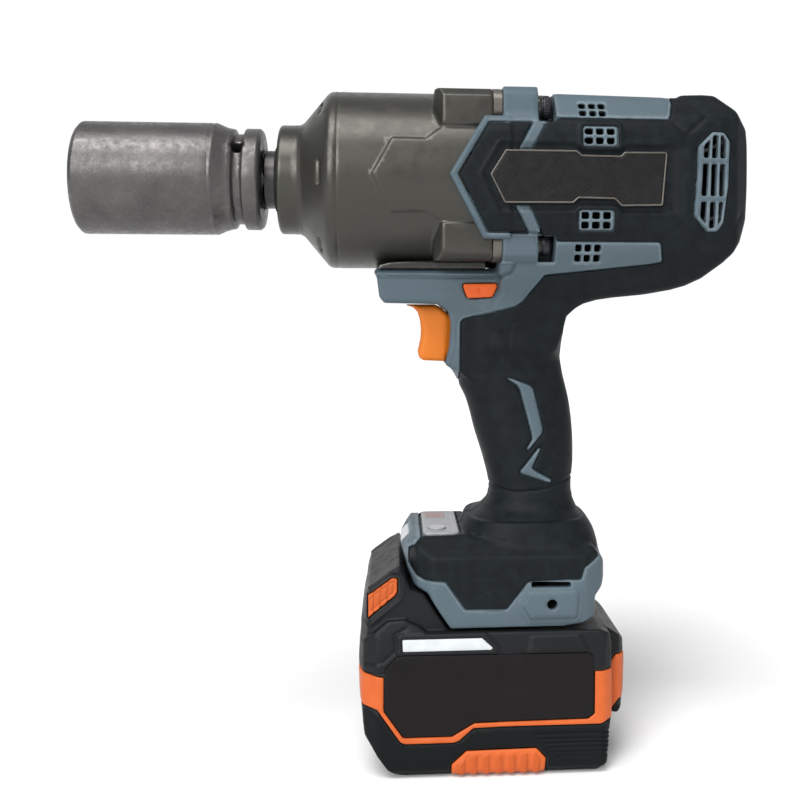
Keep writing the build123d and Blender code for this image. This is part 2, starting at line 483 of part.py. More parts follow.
shell = under + (outer & windows) + lugs + tongues
shell = shell - cavity - pockets
shell = shell + (boss & under) + ribs + web
shell = shell - (xcyl(-100, 3.5, 100) & block(-100, 3.5, -60, 60, 209, 300) - tongues)
shell = shell - xcyl(-60, 3.5, CASE_R + 0.1) - xcyl(2.0, 25.6, 30.05)
shell = shell - vents - trig_slot - fr_slot - plate_cut - bay - panel_cut - lens_cut - boss_holes
for y, z, sy, sz in CORNERS:
    shell = shell - xcyl(-2, SCREW_X + 1, 3.1, y, z) - xcyl(SCREW_X, SCREW_X + 7, 5.4, y, z)
tongue_skin = (side_prism(TONGUE_BLACK, -HALF_W - 1, -HALF_W + 1.2) + side_prism(TONGUE_BLACK, HALF_W - 1.2, HALF_W + 1)) & block(-20, 6.6, -60, 60, 200, 290)
shell = shell - tongue_skin
# seat for the hook screw in the foot, blind hole from the near side
HOOK_X, HOOK_Z, HOOK_R = 24.4, 69.4, 2.1
shell = shell - ycyl(-40, -28.6, HOOK_R, HOOK_X, HOOK_Z) - block(16.2, 32.0, -40, -33.6, 76.4, 78.0)

left_half = block(-60, 130, -60, 0, 40, 300)
right_half = block(-60, 130, 0, 60, 40, 300)


def biggest(shape):
    s = list(shape.solids())
    s.sort(key=lambda q: -q.volume)
    if len(s) > 1:
        print("  dropped", [round(q.volume, 2) for q in s[1:]])
    return s[0]


keep("housing_left", biggest(shell & left_half))
keep("housing_right", biggest(shell & right_half))

skin = outer - under - windows - pockets - vents - plate_cut - panel_cut - boss_holes - trig_slot - fr_slot
skin = skin + (tongue_skin & (tongues + form0))
skin = skin - plate_cut - shell - bay - xcyl(-60, 3.5, CASE_R + 0.1) - xcyl(-60, 32.0, 36.0)
for nm, half in (("grip_left", left_half), ("grip_right", right_half)):
    g = skin & half
    sol = [q for q in g.solids() if q.volume > 15.0]
    print(nm, [round(q.volume, 1) for q in g.solids()][:12])
    keep(nm, sol)

plate = side_prism(NAMEPLATE, -HALF_W + 0.1, -HALF_W + 0.9)
keep("nameplates", both(plate))

# ------------------------------------------------------------------ controls
TRIG = [(-36.3, 191.6), (-22.7, 191.6), (-20.1, 190.3), (-17.4, 187.8), (-16.5, 185.2), (-16.5, 179.9), (-17.1, 172.0), (-18.2, 167.2), (-27.9, 167.8), (-29.6, 168.9),
        (-30.1, 170.9), (-29.6, 173.8), (-28.9, 177.2), (-28.8, 180.8), (-29.2, 184.7), (-30.3, 188.3), (-32.3, 190.4), (-35.0, 191.2)]
trig = side_prism(TRIG, -9.0, 9.0) & (Location((-8.0, 0, 160)) * Cylinder(29.5, 40, align=(Align.CENTER, Align.CENTER, Align.MIN)) + block(-40, -10, -6.5, 6.5, 160, 195))
trig = trig + block(-19.0, -1.4, -8.0, 8.0, 170.0, 187.0)
trig = trig - xcyl(-13.0, 0, 4.6, 0, 178.5)
keep("trigger", trig)
keep("trigger_spring", coil(-12.8, 5.2, 3.6, 0.8, 7, 0, 178.5))
sw = block(5.4, 24.0, -8.2, 8.2, 167.0, 189.0) - block(4.0, 6.0, -5.0, 5.0, 173.5, 183.5)
sw = sw + xcyl(5.3, 6.2, 2.6, 0, 178.5)
keep("trigger_switch", sw)
keep("direction_selector", side_prism(FR, -21.0, 21.0))

lens = prism_y(side_face([(-37.3, 90.7), (-34.5, 93.5), (-33.2, 93.7), (-33.2, 88.9), (-36.9, 88.9)]), -11.0, 11.0)
keep("led_lens", lens)
keep("led_board", block(-31.8, -30.4, -10.5, 10.5, 82.0, 91.2) + block(-32.2, -31.7, -3.0, 3.0, 87.6, 91.0))
panel = on_panel(Location((0, 0, -0.1)) * Box(14.8, 47.0, 1.3)) - on_panel(Location((-1.4, -13.0, 0)) * Cylinder(3.85, 12))
keep("mode_panel", panel)
keep("mode_button", on_panel(Location((-1.4, -13.0, 0.62)) * Cylinder(3.7, 1.1)))

board = block(-24.0, 34.0, -23.0, 23.0, 78.2, 79.8)
for bx, by, w, d, h in ((-12, -10, 12, 9, 5), (-12, 8, 10, 10, 3), (8, -12, 9, 9, 9), (8, 2, 9, 9, 9), (22, -6, 12, 16, 6), (24, 14, 8, 8, 5)):
    board = board + block(bx - w / 2, bx + w / 2, by - d / 2, by + d / 2, 79.8, 79.8 + h)
keep("control_board", board)
term = block(25.0, 37.6, -15.0, 15.0, 63.6, 72.4)
BLADES = (-11.0, -4.0, 4.0, 11.0)
for y in BLADES:
    term = term + block(10.0, 25.2, y - 0.4, y + 0.4, 65.4, 70.2)
keep("terminal_block", term)


def lead(y, r):
    """Motor lead: straight runs joined by tangent arcs, inside the shell from the motor to the foot."""
    path = FilletPolyline((50.0, y, 205.6), (17.5, y, 199.0), (15.5, y, 150.0), (21.0, y, 88.0), radius=9.0)
    prof = Plane(origin=path @ 0, z_dir=path % 0) * Circle(r)
    return sweep(prof, path=path)


keep("motor_leads", [lead(-10.6, 0.9), lead(10.6, 0.9)])

# ------------------------------------------------------------------ battery pack
BATT = [(-37.9, 85.0), (-51.2, 75.7), (-51.8, 72.9), (-52.6, 67.2), (-53.8, 64.3), (-54.0, 52.9), (-54.9, 47.1), (-54.6, 42.5), (-54.2, 35.6), (-53.4, 26.9), (-52.5, 19.4),
        (-51.9, 16.8), (-42.4, 3.3), (-40.1, 1.2), (-36.1, 0.0), (43.6, 0.0), (47.7, 4.1), (48.4, 10.4), (49.0, 18.5), (50.0, 22.0), (53.6, 20.5), (55.7, 21.8),
        (56.6, 29.2), (57.2, 41.2), (56.7, 50.7), (55.1, 52.7), (48.8, 56.9), (44.6, BATT_TOP), (-18.2, BATT_TOP), (-22.7, 65.7), (-27.6, 73.2), (-33.3, 75.5), (-36.2, 81.8)]
BATT_SEC = [(33.5, 0.0), (37.4, 4.0), (BATT_HALF, 9.0), (BATT_HALF, 49.5), (35.5, 57.0), (31.5, 60.0), (30.5, 86.0)]
BATT_PLAN = [(-56.0, -24.0), (-52.0, -34.0), (-46.0, -BATT_HALF), (46.5, -BATT_HALF), (51.0, -34.0), (53.5, -26.0), (58.0, -22.0), (58.0, 22.0), (53.5, 26.0), (51.0, 34.0),
             (46.5, BATT_HALF), (-46.0, BATT_HALF), (-52.0, 34.0), (-56.0, 24.0)]


def batt(off):
    return prism_y(inset(BATT, off), -60, 60) & along_x(inset(mirror_pts(BATT_SEC), off), -70, 140) & (Location((0, 0, -5)) * extrude(inset(BATT_PLAN, off), 100))


b0, b1 = batt(0), batt(1.0)
b_cav = batt(2.4) - block(-60, 60, -60, 60, BATT_TOP - 2.4, 100) + (batt(2.4) & block(-60, -30, -60, 60, 50, 100))
rail = block(-30.0, 21.6, -23.8, 23.8, BATT_TOP - 1.0, 64.0) + block(-31.0, 21.6, -27.0, 27.0, 63.6, 72.2)
rail = rail - block(-28.0, 2.0, -21.4, 21.4, 57.0, 69.8)
for y in BLADES:
    rail = rail - block(7.6, 22.0, y - 1.6, y + 1.6, 64.6, 71.0)
ORANGE = [(-60.0, 43.0), (-44.6, 41.6), (-44.6, 27.6), (-36.4, 17.8), (-16.4, 17.6), (-7.6, 22.9), (39.0, 23.4), (42.2, 26.0), (42.2, 42.1), (50.3, 42.1), (52.8, 45.3), (60.0, 45.3),
          (60.0, 19.0), (47.5, 21.4), (44.3, 20.2), (3.0, 20.4), (-7.8, 20.1), (-13.5, 15.2), (-15.8, 14.4), (-35.6, 14.4), (-37.3, 15.1), (-46.9, 28.4), (-60.0, 30.2)]
PAD = [(-16.6, 5.6), (-10.8, 10.8), (18.0, 11.2), (21.8, 7.1), (21.2, -1.0), (-16.6, -1.0)]
band = ((b0 - b1) & (side_prism(ORANGE, -60, 60) + side_prism(PAD, -60, 60))) & block(-70, 70, -60, 60, 1.0, 100)
cells = []
cell_clear = None
for r in range(2):
    for c in range(5):
        x, z = -36.2 + c * 18.5, 12.4 + r * 18.6
        body = ycyl(-CELL_L / 2, CELL_L / 2 - 1.2, CELL_R, x, z) + ycyl(CELL_L / 2 - 1.3, CELL_L / 2, 3.0, x, z)
        cells.append(body)
        cc = ycyl(-CELL_L / 2 - 1, CELL_L / 2 + 1, CELL_R + 0.1, x, z)
        cell_clear = cc if cell_clear is None else cell_clear + cc
LATCH = [(-51.0, 73.2), (-41.0, 80.3), (-38.8, 80.2), (-38.8, 74.6), (-39.7, 73.0), (-51.9, 63.2), (-51.5, 71.5)]
latch_hole = prism_y(offset(side_face(LATCH), 0.35, kind=Kind.INTERSECTION), -50, -21.5) & block(-50.6, 60, -60, 60, 0, 100)
latch_hole = latch_hole + mirror(latch_hole, Plane.XZ)
case_b = b0 + rail
case_b = case_b - band - b_cav - cell_clear - latch_hole
case_b = case_b + (block(-53.0, -41.5, -12.0, 12.0, 63.0, 77.0) & b0)
keep("battery_base", biggest(case_b & block(-70, 70, -60, 60, -5, 43.0)))
keep("battery_top", biggest(case_b & block(-70, 70, -60, 60, 43.05, 100)))
bands = [q for q in band.solids() if q.volume > 5]
print("band", [round(q.volume, 1) for q in bands])
keep("battery_bumper", bands)
keep("cells", cells)
strips = []
for sy in (-1, 1):
    for r in range(2):
        z = 12.4 + r * 18.6
        for c in range(0, 4, 2) if sy < 0 else range(1, 5, 2):
            x = -36.2 + c * 18.5
            strips.append(block(x - 4, x + 22.5, sy * 32.55 if sy > 0 else -32.85, 32.85 if sy > 0 else -32.55, z - 4, z + 4))
keep("nickel_strips", strips)
keep("bms_board", block(-42.0, 40.0, -28.0, 28.0, 43.6, 45.2) + block(-30, -18, -10, 10, 45.2, 49.0) + block(-6, 8, -12, 12, 45.2, 48.0) + block(18, 30, -8, 8, 45.2, 50.0))
bt = []
for y in BLADES:
    u = block(9.0, 19.0, y - 1.4, y - 0.7, 64.9, 70.4) + block(9.0, 19.0, y + 0.7, y + 1.4, 64.9, 70.4) + block(8.0, 9.2, y - 1.4, y + 1.4, 64.9, 70.4)
    bt.append(u)
keep("battery_terminals", bt)
LABEL = [(-36.4, 50.0), (-39.2, 49.2), (-43.8, 45.0), (-44.0, 28.0), (-36.2, 18.2), (-16.6, 18.1), (-7.5, 23.4), (39.2, 23.9), (41.5, 25.6), (41.8, 48.0), (40.0, 49.4)]
lab = side_prism(LABEL, -BATT_HALF - 0.25, -BATT_HALF)
keep("battery_labels", both(lab))
latch = side_prism(LATCH, -32.6, -24.0) & block(-50.3, 60, -60, 60, 0, 100)
for k in range(4):
    t = (k + 0.8) / 4.6
    px, pz = -50.6 + t * 9.6, 73.6 + t * 6.8
    latch = latch - (Location((px, -32.9, pz - 5.0), (0, 0, 0)) * Box(0.9, 1.6, 14.0))
keep("latch_left", biggest(latch))
keep("latch_right", mirror(NODES["latch_left"], Plane.XZ))


def coil_y(y0, y1, r, wire, turns, x, z):
    h = Helix(pitch=(y1 - y0 - wire) / turns, height=(y1 - y0 - wire), radius=r)
    path = Wire(h.edges())
    prof = Plane(origin=path @ 0, z_dir=path % 0) * Circle(wire / 2)
    s = sweep(prof, path=path)
    return Location((x, y0 + wire / 2, z), (-90, 0, 0)) * s


ls = coil_y(-23.9, -12.1, 2.6, 0.7, 5, -45.2, 71.6)
keep("latch_spring_left", ls)
keep("latch_spring_right", mirror(ls, Plane.XZ))

# ------------------------------------------------------------------ write
for n, s in NODES.items():
    export_step(s, f"parts/{n}.step")
print("nodes", len(NODES))
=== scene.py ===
import math

import bpy
import numpy as np
import openvdb
from mathutils import Matrix, Vector


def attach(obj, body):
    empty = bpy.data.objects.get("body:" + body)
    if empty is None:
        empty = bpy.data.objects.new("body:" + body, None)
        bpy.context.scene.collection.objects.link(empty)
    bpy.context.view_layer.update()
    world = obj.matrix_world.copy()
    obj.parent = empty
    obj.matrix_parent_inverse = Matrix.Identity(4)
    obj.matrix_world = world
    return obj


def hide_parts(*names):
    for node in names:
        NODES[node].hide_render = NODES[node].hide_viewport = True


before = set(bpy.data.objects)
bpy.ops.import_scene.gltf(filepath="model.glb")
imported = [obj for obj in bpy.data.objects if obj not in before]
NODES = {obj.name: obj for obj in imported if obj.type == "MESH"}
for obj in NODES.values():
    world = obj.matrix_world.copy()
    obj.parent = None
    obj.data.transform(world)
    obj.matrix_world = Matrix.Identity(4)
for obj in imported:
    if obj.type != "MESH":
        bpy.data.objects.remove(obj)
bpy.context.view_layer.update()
HS = 1.0
AZ = 245.5
F = np.float32


# ---------------------------------------------------------------- distance fields (millimetres)
class Vol:
    def __init__(self, x0, x1, y0, y1, z0, z1, h):
        h *= HS
        self.h = h
        self.o = np.array((x0, y0, z0), float)
        self.n = [int(math.ceil((b - a) / h)) + 1 for a, b in ((x0, x1), (y0, y1), (z0, z1))]
        self.X = (x0 + h * np.arange(self.n[0])).astype(F)[:, None, None]
        self.Y = (y0 + h * np.arange(self.n[1])).astype(F)[None, :, None]
        self.Z = (z0 + h * np.arange(self.n[2])).astype(F)[None, None, :]
        self.A = np.abs(self.Y)


def sample(v, flat, p):
    n = v.n
    q = (p - v.o) / v.h
    q = np.clip(q, 0.0, np.array(n) - 1.001)
    i = q.astype(np.int64)
    t = (q - i).astype(F)
    b = (i[:, 0] * n[1] + i[:, 1]) * n[2] + i[:, 2]
    sx, sy = n[1] * n[2], n[2]
    tx, ty, tz = t[:, 0], t[:, 1], t[:, 2]
    c00 = flat[b] * (1 - tx) + flat[b + sx] * tx
    c01 = flat[b + 1] * (1 - tx) + flat[b + sx + 1] * tx
    c10 = flat[b + sy] * (1 - tx) + flat[b + sx + sy] * tx
    c11 = flat[b + sy + 1] * (1 - tx) + flat[b + sx + sy + 1] * tx
    return (c00 * (1 - ty) + c10 * ty) * (1 - tz) + (c01 * (1 - ty) + c11 * ty) * tz


def gradient(v, flat, p, e):
    g = np.empty((len(p), 3))
    for k in range(3):
        d = np.zeros(3)
        d[k] = e
        g[:, k] = (sample(v, flat, p + d) - sample(v, flat, p - d)) / (2 * e)
    return g


def solid(v, field, adapt=0.03):
    """Surface of a field as (points, tris, quads, normals, edge, occlusion); occlusion measures how closed-in each
    point is and drives painted shade in hollows.
    """
    field = np.ascontiguousarray(np.broadcast_to(field, v.n), dtype=F)
    band = 4.0 * v.h
    grid = openvdb.FloatGrid(float(band))
    grid.copyFromArray(np.clip(field, -band, band))
    pts, tris, quads = grid.convertToPolygons(0.0, adapt)
    p = pts.astype(float) * v.h + v.o
    flat = field.ravel()
    for _ in range(2):
        g = gradient(v, flat, p, 0.5 * v.h)
        d = sample(v, flat, p)
        l2 = np.maximum((g * g).sum(1), 0.2)
        step = np.clip(d / l2, -0.6 * v.h, 0.6 * v.h)
        p = p - g * step[:, None]
    g = gradient(v, flat, p, 0.75 * v.h)
    nrm = g / np.maximum(np.linalg.norm(g, axis=1), 1e-6)[:, None]
    r = 1.1
    edge = np.clip((sample(v, flat, p - nrm * r) + r) / r * 1.6, 0, 1)
    # occlusion: the field sampled outward along the normal, an ambient-occlusion measure that the materials use to
    # paint shade into hollows
    occlusion = np.clip((r - sample(v, flat, p + nrm * r)) / r * 1.6, 0, 1)
    return p, tris, quads, nrm, edge, occlusion


def flip(s):
    """Mirror image across the plane Y=0."""
    p, tris, quads, nrm, edge, occlusion = s
    m = np.array((1.0, -1.0, 1.0))
    return p * m, tris[:, ::-1], quads[:, ::-1], nrm * m, edge, occlusion


def mesh_of(name, s):
    p, tris, quads, nrm, edge, occlusion = s
    me = bpy.data.meshes.new(name)
    me.vertices.add(len(p))
    me.vertices.foreach_set("co", (p * 0.001).astype(F).ravel())
    loops = np.concatenate([tris.ravel(), quads.ravel()]).astype(np.int32)
    me.loops.add(len(loops))
    me.loops.foreach_set("vertex_index", loops)
    me.polygons.add(len(tris) + len(quads))
    me.polygons.foreach_set("loop_start", np.concatenate([np.arange(len(tris)) * 3, len(tris) * 3 + np.arange(len(quads)) * 4]).astype(np.int32))
    me.update(calc_edges=True)
    me.validate()
    me.shade_smooth()
    # edge drives the worn edges; occlusion drives the painted shade in hollows
    for nm, val in (("edge", edge), ("occlusion", occlusion)):
        at = me.attributes.new(nm, "FLOAT", "POINT")
        if len(at.data) == len(val):
            at.data.foreach_set("value", val.astype(F))
    if len(me.vertices) == len(nrm):
        me.normals_split_custom_set_from_vertices([tuple(x) for x in nrm])
    return me


COUNTS = {}


def piece(name, s, mat, body, nodes=()):
    me = mesh_of(name, s)
    me.materials.append(mat)
    ob = bpy.data.objects.new(name, me)
    bpy.context.scene.collection.objects.link(ob)
    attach(ob, body)
    if nodes:
        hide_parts(*nodes)
    COUNTS[name] = len(me.polygons)
    return ob


def poly(a, b, pts):
    """Signed distance to a closed polygon in the plane (a, b), negative inside."""
    pts = [(float(u), float(w)) for u, w in pts]
    d = s = None
    for k in range(len(pts)):
        bx, by = pts[k]
        ax, ay = pts[k - 1]
        ex, ey = ax - bx, ay - by
        if ex * ex + ey * ey < 1e-9:
            continue
        wx, wy = a - F(bx), b - F(by)
        t = np.clip((wx * F(ex) + wy * F(ey)) / F(ex * ex + ey * ey), 0, 1)
        dx, dy = wx - F(ex) * t, wy - F(ey) * t
        dd = dx * dx + dy * dy
        c1, c2, c3 = b >= F(by), b < F(ay), F(ex) * wy > F(ey) * wx
        fl = (c1 & c2 & c3) | (~c1 & ~c2 & ~c3)
        d = dd if d is None else np.minimum(d, dd)
        s = fl if s is None else s ^ fl
    return np.where(s, -1, 1).astype(F) * np.sqrt(d)


def rp(pts, r, seg=4):
    """The polygon with its corners rounded by about r."""
    out, n = [], len(pts)
    for k in range(n):
        p0, p, p1 = (np.array(pts[j % n], float) for j in (k - 1, k, k + 1))
        a, b = p0 - p, p1 - p
        la, lb = np.linalg.norm(a), np.linalg.norm(b)
        a, b = a / la, b / lb
        th = math.acos(max(-1.0, min(1.0, float(a @ b))))
        if th > 3.1:
            out.append(tuple(p))
            continue
        t = min(r / math.tan(th / 2), la * 0.45, lb * 0.45)
        s, e = p + a * t, p + b * t
        for i in range(seg + 1):
            u = i / seg
            out.append(tuple((1 - u) ** 2 * s + 2 * u * (1 - u) * p + u * u * e))
    return out


def sym(pts):
    return [(-y, z) for y, z in reversed(pts)] + list(pts)


def rmax(a, b, r):
    r = F(r)
    u, w = a + r, b + r
    return np.minimum(np.maximum(u, w), 0) + np.sqrt(np.maximum(u, 0) ** 2 + np.maximum(w, 0) ** 2) - r


def rmin(a, b, r):
    return -rmax(-a, -b, r)


def ss(a, b, x):
    t = np.clip((x - F(a)) / F(b - a), 0, 1)
    return t * t * (3 - 2 * t)


def gauss(x, w):
    return np.exp(-(x / F(w)) ** 2)


def rbox(v, x0, x1, y0, y1, z0, z1, r=0.6, use_abs=False):
    yy = v.A if use_abs else v.Y
    qx = np.abs(v.X - F((x0 + x1) / 2)) - F((x1 - x0) / 2 - r)
    qy = np.abs(yy - F((y0 + y1) / 2)) - F((y1 - y0) / 2 - r)
    qz = np.abs(v.Z - F((z0 + z1) / 2)) - F((z1 - z0) / 2 - r)
    return np.sqrt(np.maximum(qx, 0) ** 2 + np.maximum(qy, 0) ** 2 + np.maximum(qz, 0) ** 2) + np.minimum(np.maximum(np.maximum(qx, qy), qz), 0) - F(r)


def rrect(a, b, a0, a1, b0, b1, r):
    qa = np.abs(a - F((a0 + a1) / 2)) - F((a1 - a0) / 2 - r)
    qb = np.abs(b - F((b0 + b1) / 2)) - F((b1 - b0) / 2 - r)
    return np.sqrt(np.maximum(qa, 0) ** 2 + np.maximum(qb, 0) ** 2) + np.minimum(np.maximum(qa, qb), 0) - F(r)


def revolve(v, pts, y=0.0, z=AZ):
    """Solid of revolution about an axis along X; pts are (x, radius)."""
    r = np.sqrt((v.Y - F(y)) ** 2 + (v.Z - F(z)) ** 2)[0]
    st = 0.2
    rr = np.arange(0, float(r.max()) + 2 * st, st).astype(F)
    t = poly(v.X[:, 0, 0][:, None], rr[None, :], pts)
    k = r / F(st)
    i = k.astype(np.int64)
    f = (k - i).astype(F)
    return t[:, i] * (1 - f) + t[:, i + 1] * f


def line_dist(a, b, pts):
    """Distance to an open polyline."""
    d = None
    for (px, py), (qx, qy) in zip(pts, pts[1:]):
        ex, ey = qx - px, qy - py
        wx, wy = a - F(px), b - F(py)
        t = np.clip((wx * F(ex) + wy * F(ey)) / F(ex * ex + ey * ey), 0, 1)
        dd = (wx - F(ex) * t) ** 2 + (wy - F(ey) * t) ** 2
        d = dd if d is None else np.minimum(d, dd)
    return np.sqrt(d)


def curve(z, zs, vs):
    """Smooth interpolation of rows (zs rising)."""
    zs, vs = np.array(zs, float), np.array(vs, float)
    m = np.gradient(vs, zs)
    z = np.clip(z, zs[0], zs[-1])
    k = np.clip(np.searchsorted(zs, z) - 1, 0, len(zs) - 2)
    h = zs[k + 1] - zs[k]
    t = (z - zs[k]) / h
    return ((2 * t ** 3 - 3 * t ** 2 + 1) * vs[k] + (t ** 3 - 2 * t ** 2 + t) * h * m[k] + (-2 * t ** 3 + 3 * t ** 2) * vs[k + 1] + (t ** 3 - t ** 2) * h * m[k + 1]).astype(F)


def lofted(v, rows, power):
    """Super-elliptic sections (z, front x, back x, half width) stacked in height."""
    rows = sorted(rows)
    z = v.Z[0, 0]
    zs = [r[0] for r in rows]
    xf, xb, hw = (curve(z, zs, [r[k] for r in rows]) for k in (1, 2, 3))
    pw = curve(z, zs, [power if len(r) < 5 else r[4] for r in rows])[None, None, :]
    cx, a, b = ((xf + xb) / 2)[None, None, :], ((xb - xf) / 2)[None, None, :], hw[None, None, :]
    u = np.maximum(np.abs(v.X - cx) / a, F(1e-3))
    w = np.maximum(v.A / b, F(1e-3))
    up, wp = u ** (pw - 1), w ** (pw - 1)
    q = (u * up + w * wp) ** (1 / pw)
    g = q ** (1 - pw) * np.sqrt((up / a) ** 2 + (wp / b) ** 2)
    f = (q - 1) / np.maximum(g, F(0.02))
    f = np.clip(f, -18, 60)
    near_s = np.abs(f) < 12
    gx, gy, gz = np.gradient(f, v.h)
    f = np.where(near_s, f / np.maximum(np.sqrt(gx * gx + gy * gy + gz * gz), F(1.0)), f * F(0.6)).astype(F)
    f = rmax(f, np.broadcast_to(F(zs[0]) - v.Z, f.shape), 0.5)
    return rmax(f, np.broadcast_to(v.Z - F(zs[-1]), f.shape), 0.5)


# ---------------------------------------------------------------- materials
def nd(nt, kind, **kw):
    n = nt.nodes.new(kind)
    for k, val in kw.items():
        if k.startswith("i_"):
            n.inputs[k[2:].replace("_", " ")].default_value = val
        else:
            setattr(n, k, val)
    return n


def noise(nt, co, scale, detail=3.0, rough=0.5, stretch=None, dist=0.0):
    if stretch:
        mp = nd(nt, "ShaderNodeMapping")
        mp.inputs["Scale"].default_value = stretch
        nt.links.new(co, mp.inputs["Vector"])
        co = mp.outputs["Vector"]
    n = nd(nt, "ShaderNodeTexNoise")
    n.inputs["Scale"].default_value = scale
    n.inputs["Detail"].default_value = detail
    n.inputs["Roughness"].default_value = rough
    n.inputs["Distortion"].default_value = dist
    nt.links.new(co, n.inputs["Vector"])
    return n.outputs["Fac"]


def ramp(nt, fac, lo, hi, a=0.0, b=1.0):
    n = nd(nt, "ShaderNodeMapRange")
    n.inputs["From Min"].default_value = lo
    n.inputs["From Max"].default_value = hi
    n.inputs["To Min"].default_value = a
    n.inputs["To Max"].default_value = b
    nt.links.new(fac, n.inputs["Value"])
    return n.outputs["Result"]


def mul(nt, a, b):
    n = nd(nt, "ShaderNodeMath", operation="MULTIPLY")
    for k, x in enumerate((a, b)):
        if isinstance(x, (int, float)):
            n.inputs[k].default_value = x
        else:
            nt.links.new(x, n.inputs[k])
    return n.outputs[0]


def add(nt, a, b):
    n = nd(nt, "ShaderNodeMath", operation="ADD")
    for k, x in enumerate((a, b)):
        if isinstance(x, (int, float)):
            n.inputs[k].default_value = x
        else:
            nt.links.new(x, n.inputs[k])
    return n.outputs[0]


def mix(nt, fac, a, b):
    n = nd(nt, "ShaderNodeMix", data_type="RGBA")
    nt.links.new(fac, n.inputs[0])
    for k, x in ((6, a), (7, b)):
        if isinstance(x, tuple):
            n.inputs[k].default_value = (*x[:3], 1.0)
        else:
            nt.links.new(x, n.inputs[k])
    return n.outputs[2]


def tone(c, k):
    return tuple(min(1.0, x * k) for x in c)


def surface(name, base, rough, metallic=0.0, grain=2600.0, depth=0.00006, strength=0.35, vary=0.18, patch=28.0, worn=None, wear=0.35,
            hollow_shade=0.45, rvar=0.08, spec=0.5, brushed=None, speck=None, coat=0.0):
    """Moulded, cast or rolled finish: fine grain, uneven tone, worn edges and painted shade darkening the hollows."""
    m = bpy.data.materials.new(name)
    m.use_nodes = True
    nt = m.node_tree
    b = nt.nodes["Principled BSDF"]
    co = nd(nt, "ShaderNodeTexCoord").outputs["Object"]
    big = noise(nt, co, patch, 4.0, 0.6)
    mid = noise(nt, co, patch * 7.0, 3.0, 0.6)
    fine = noise(nt, co, grain, 2.0, 0.6, stretch=brushed)
    col = mix(nt, ramp(nt, big, 0.3, 0.7), tone(base, 1 - vary), tone(base, 1 + vary))
    col = mix(nt, ramp(nt, mid, 0.35, 0.75, 0.0, 0.5), col, tone(base, 1 - vary * 0.7))
    col = mix(nt, ramp(nt, fine, 0.35, 0.7, 0.0, 0.55), col, tone(base, 1 + vary * 1.3))
    if speck:
        sp = noise(nt, co, speck[0], 2.0, 0.5)
        col = mix(nt, ramp(nt, sp, speck[1], speck[1] + 0.05, 0.0, speck[2]), col, speck[3])
    at = nd(nt, "ShaderNodeAttribute", attribute_name="edge")
    ca = nd(nt, "ShaderNodeAttribute", attribute_name="occlusion")
    wr = mul(nt, ramp(nt, at.outputs["Fac"], 0.25, 0.95), ramp(nt, mid, 0.3, 0.7, wear * 0.35, wear))
    col = mix(nt, wr, col, worn or tone(base, 1.9))
    # painted shade: the occlusion attribute darkens the base colour in hollows, ambient occlusion painted into the
    # colour with strength hollow_shade
    col = mix(nt, mul(nt, ramp(nt, ca.outputs["Fac"], 0.2, 1.0), hollow_shade), col, tone(base, 0.35))
    nt.links.new(col, b.inputs["Base Color"])
    rg = add(nt, ramp(nt, mid, 0.3, 0.7, rough - rvar, rough + rvar), ramp(nt, fine, 0.3, 0.7, -0.04, 0.04))
    nt.links.new(rg, b.inputs["Roughness"])
    b.inputs["Metallic"].default_value = metallic
    b.inputs["Specular IOR Level"].default_value = spec
    b.inputs["Coat Weight"].default_value = coat
    bp = nd(nt, "ShaderNodeBump")
    bp.inputs["Strength"].default_value = strength
    bp.inputs["Distance"].default_value = depth
    hgt = add(nt, fine, mul(nt, mid, 0.6))
    nt.links.new(hgt, bp.inputs["Height"])
    nt.links.new(bp.outputs["Normal"], b.inputs["Normal"])
    return m


# hollow_shade sets how strongly shade is painted into each material's hollows
GREY = surface("nylon_grey", (0.064, 0.092, 0.110), 0.52, spec=0.3, grain=2300.0, depth=0.00007, strength=0.5, vary=0.10, worn=(0.20, 0.25, 0.28), wear=0.5, hollow_shade=0.55)
BLACK = surface("tpe_black", (0.0026, 0.0038, 0.0046), 0.52, spec=0.10, grain=1900.0, depth=0.0001, strength=0.55, vary=0.22, worn=(0.018, 0.024, 0.027), wear=0.4, hollow_shade=0.3)
CASE = surface("cast_case", (0.056, 0.0545, 0.0475), 0.37, metallic=0.75, grain=2600.0, depth=0.00005, strength=0.45, vary=0.10, worn=(0.24, 0.235, 0.22), wear=0.5, hollow_shade=0.5, rvar=0.06)
SOCKET = surface("phosphate_steel", (0.084, 0.079, 0.078), 0.40, metallic=0.7, grain=2100.0, depth=0.00008, strength=0.6, vary=0.40, patch=60.0, worn=(0.20, 0.18, 0.175), wear=0.55,
                 rvar=0.12, speck=(900.0, 0.66, 0.35, (0.15, 0.13, 0.12)))
PLATE_RIM = surface("plate_rim", (0.13, 0.118, 0.105), 0.38, metallic=0.7, vary=0.15)
PLATE = surface("brushed_plate", (0.0095, 0.0088, 0.0088), 0.36, metallic=0.2, spec=0.25, grain=3000.0, depth=0.00004, strength=0.5, vary=0.5, brushed=(0.25, 1.0, 1.0), speck=(2600.0, 0.58, 0.6, (0.06, 0.056, 0.055)))
ORANGE_T = surface("orange_trigger", (0.56, 0.145, 0.010), 0.50, spec=0.3, grain=2300.0, vary=0.06, worn=(0.75, 0.26, 0.04), wear=0.4, hollow_shade=0.35)
ORANGE_F = surface("orange_selector", (0.54, 0.084, 0.010), 0.45, spec=0.3, grain=2300.0, vary=0.06, worn=(0.75, 0.17, 0.03), wear=0.4, hollow_shade=0.35)
ORANGE_B = surface("orange_bumper", (0.42, 0.074, 0.010), 0.50, spec=0.3, grain=2100.0, vary=0.08, worn=(0.68, 0.14, 0.03), wear=0.4, hollow_shade=0.4)
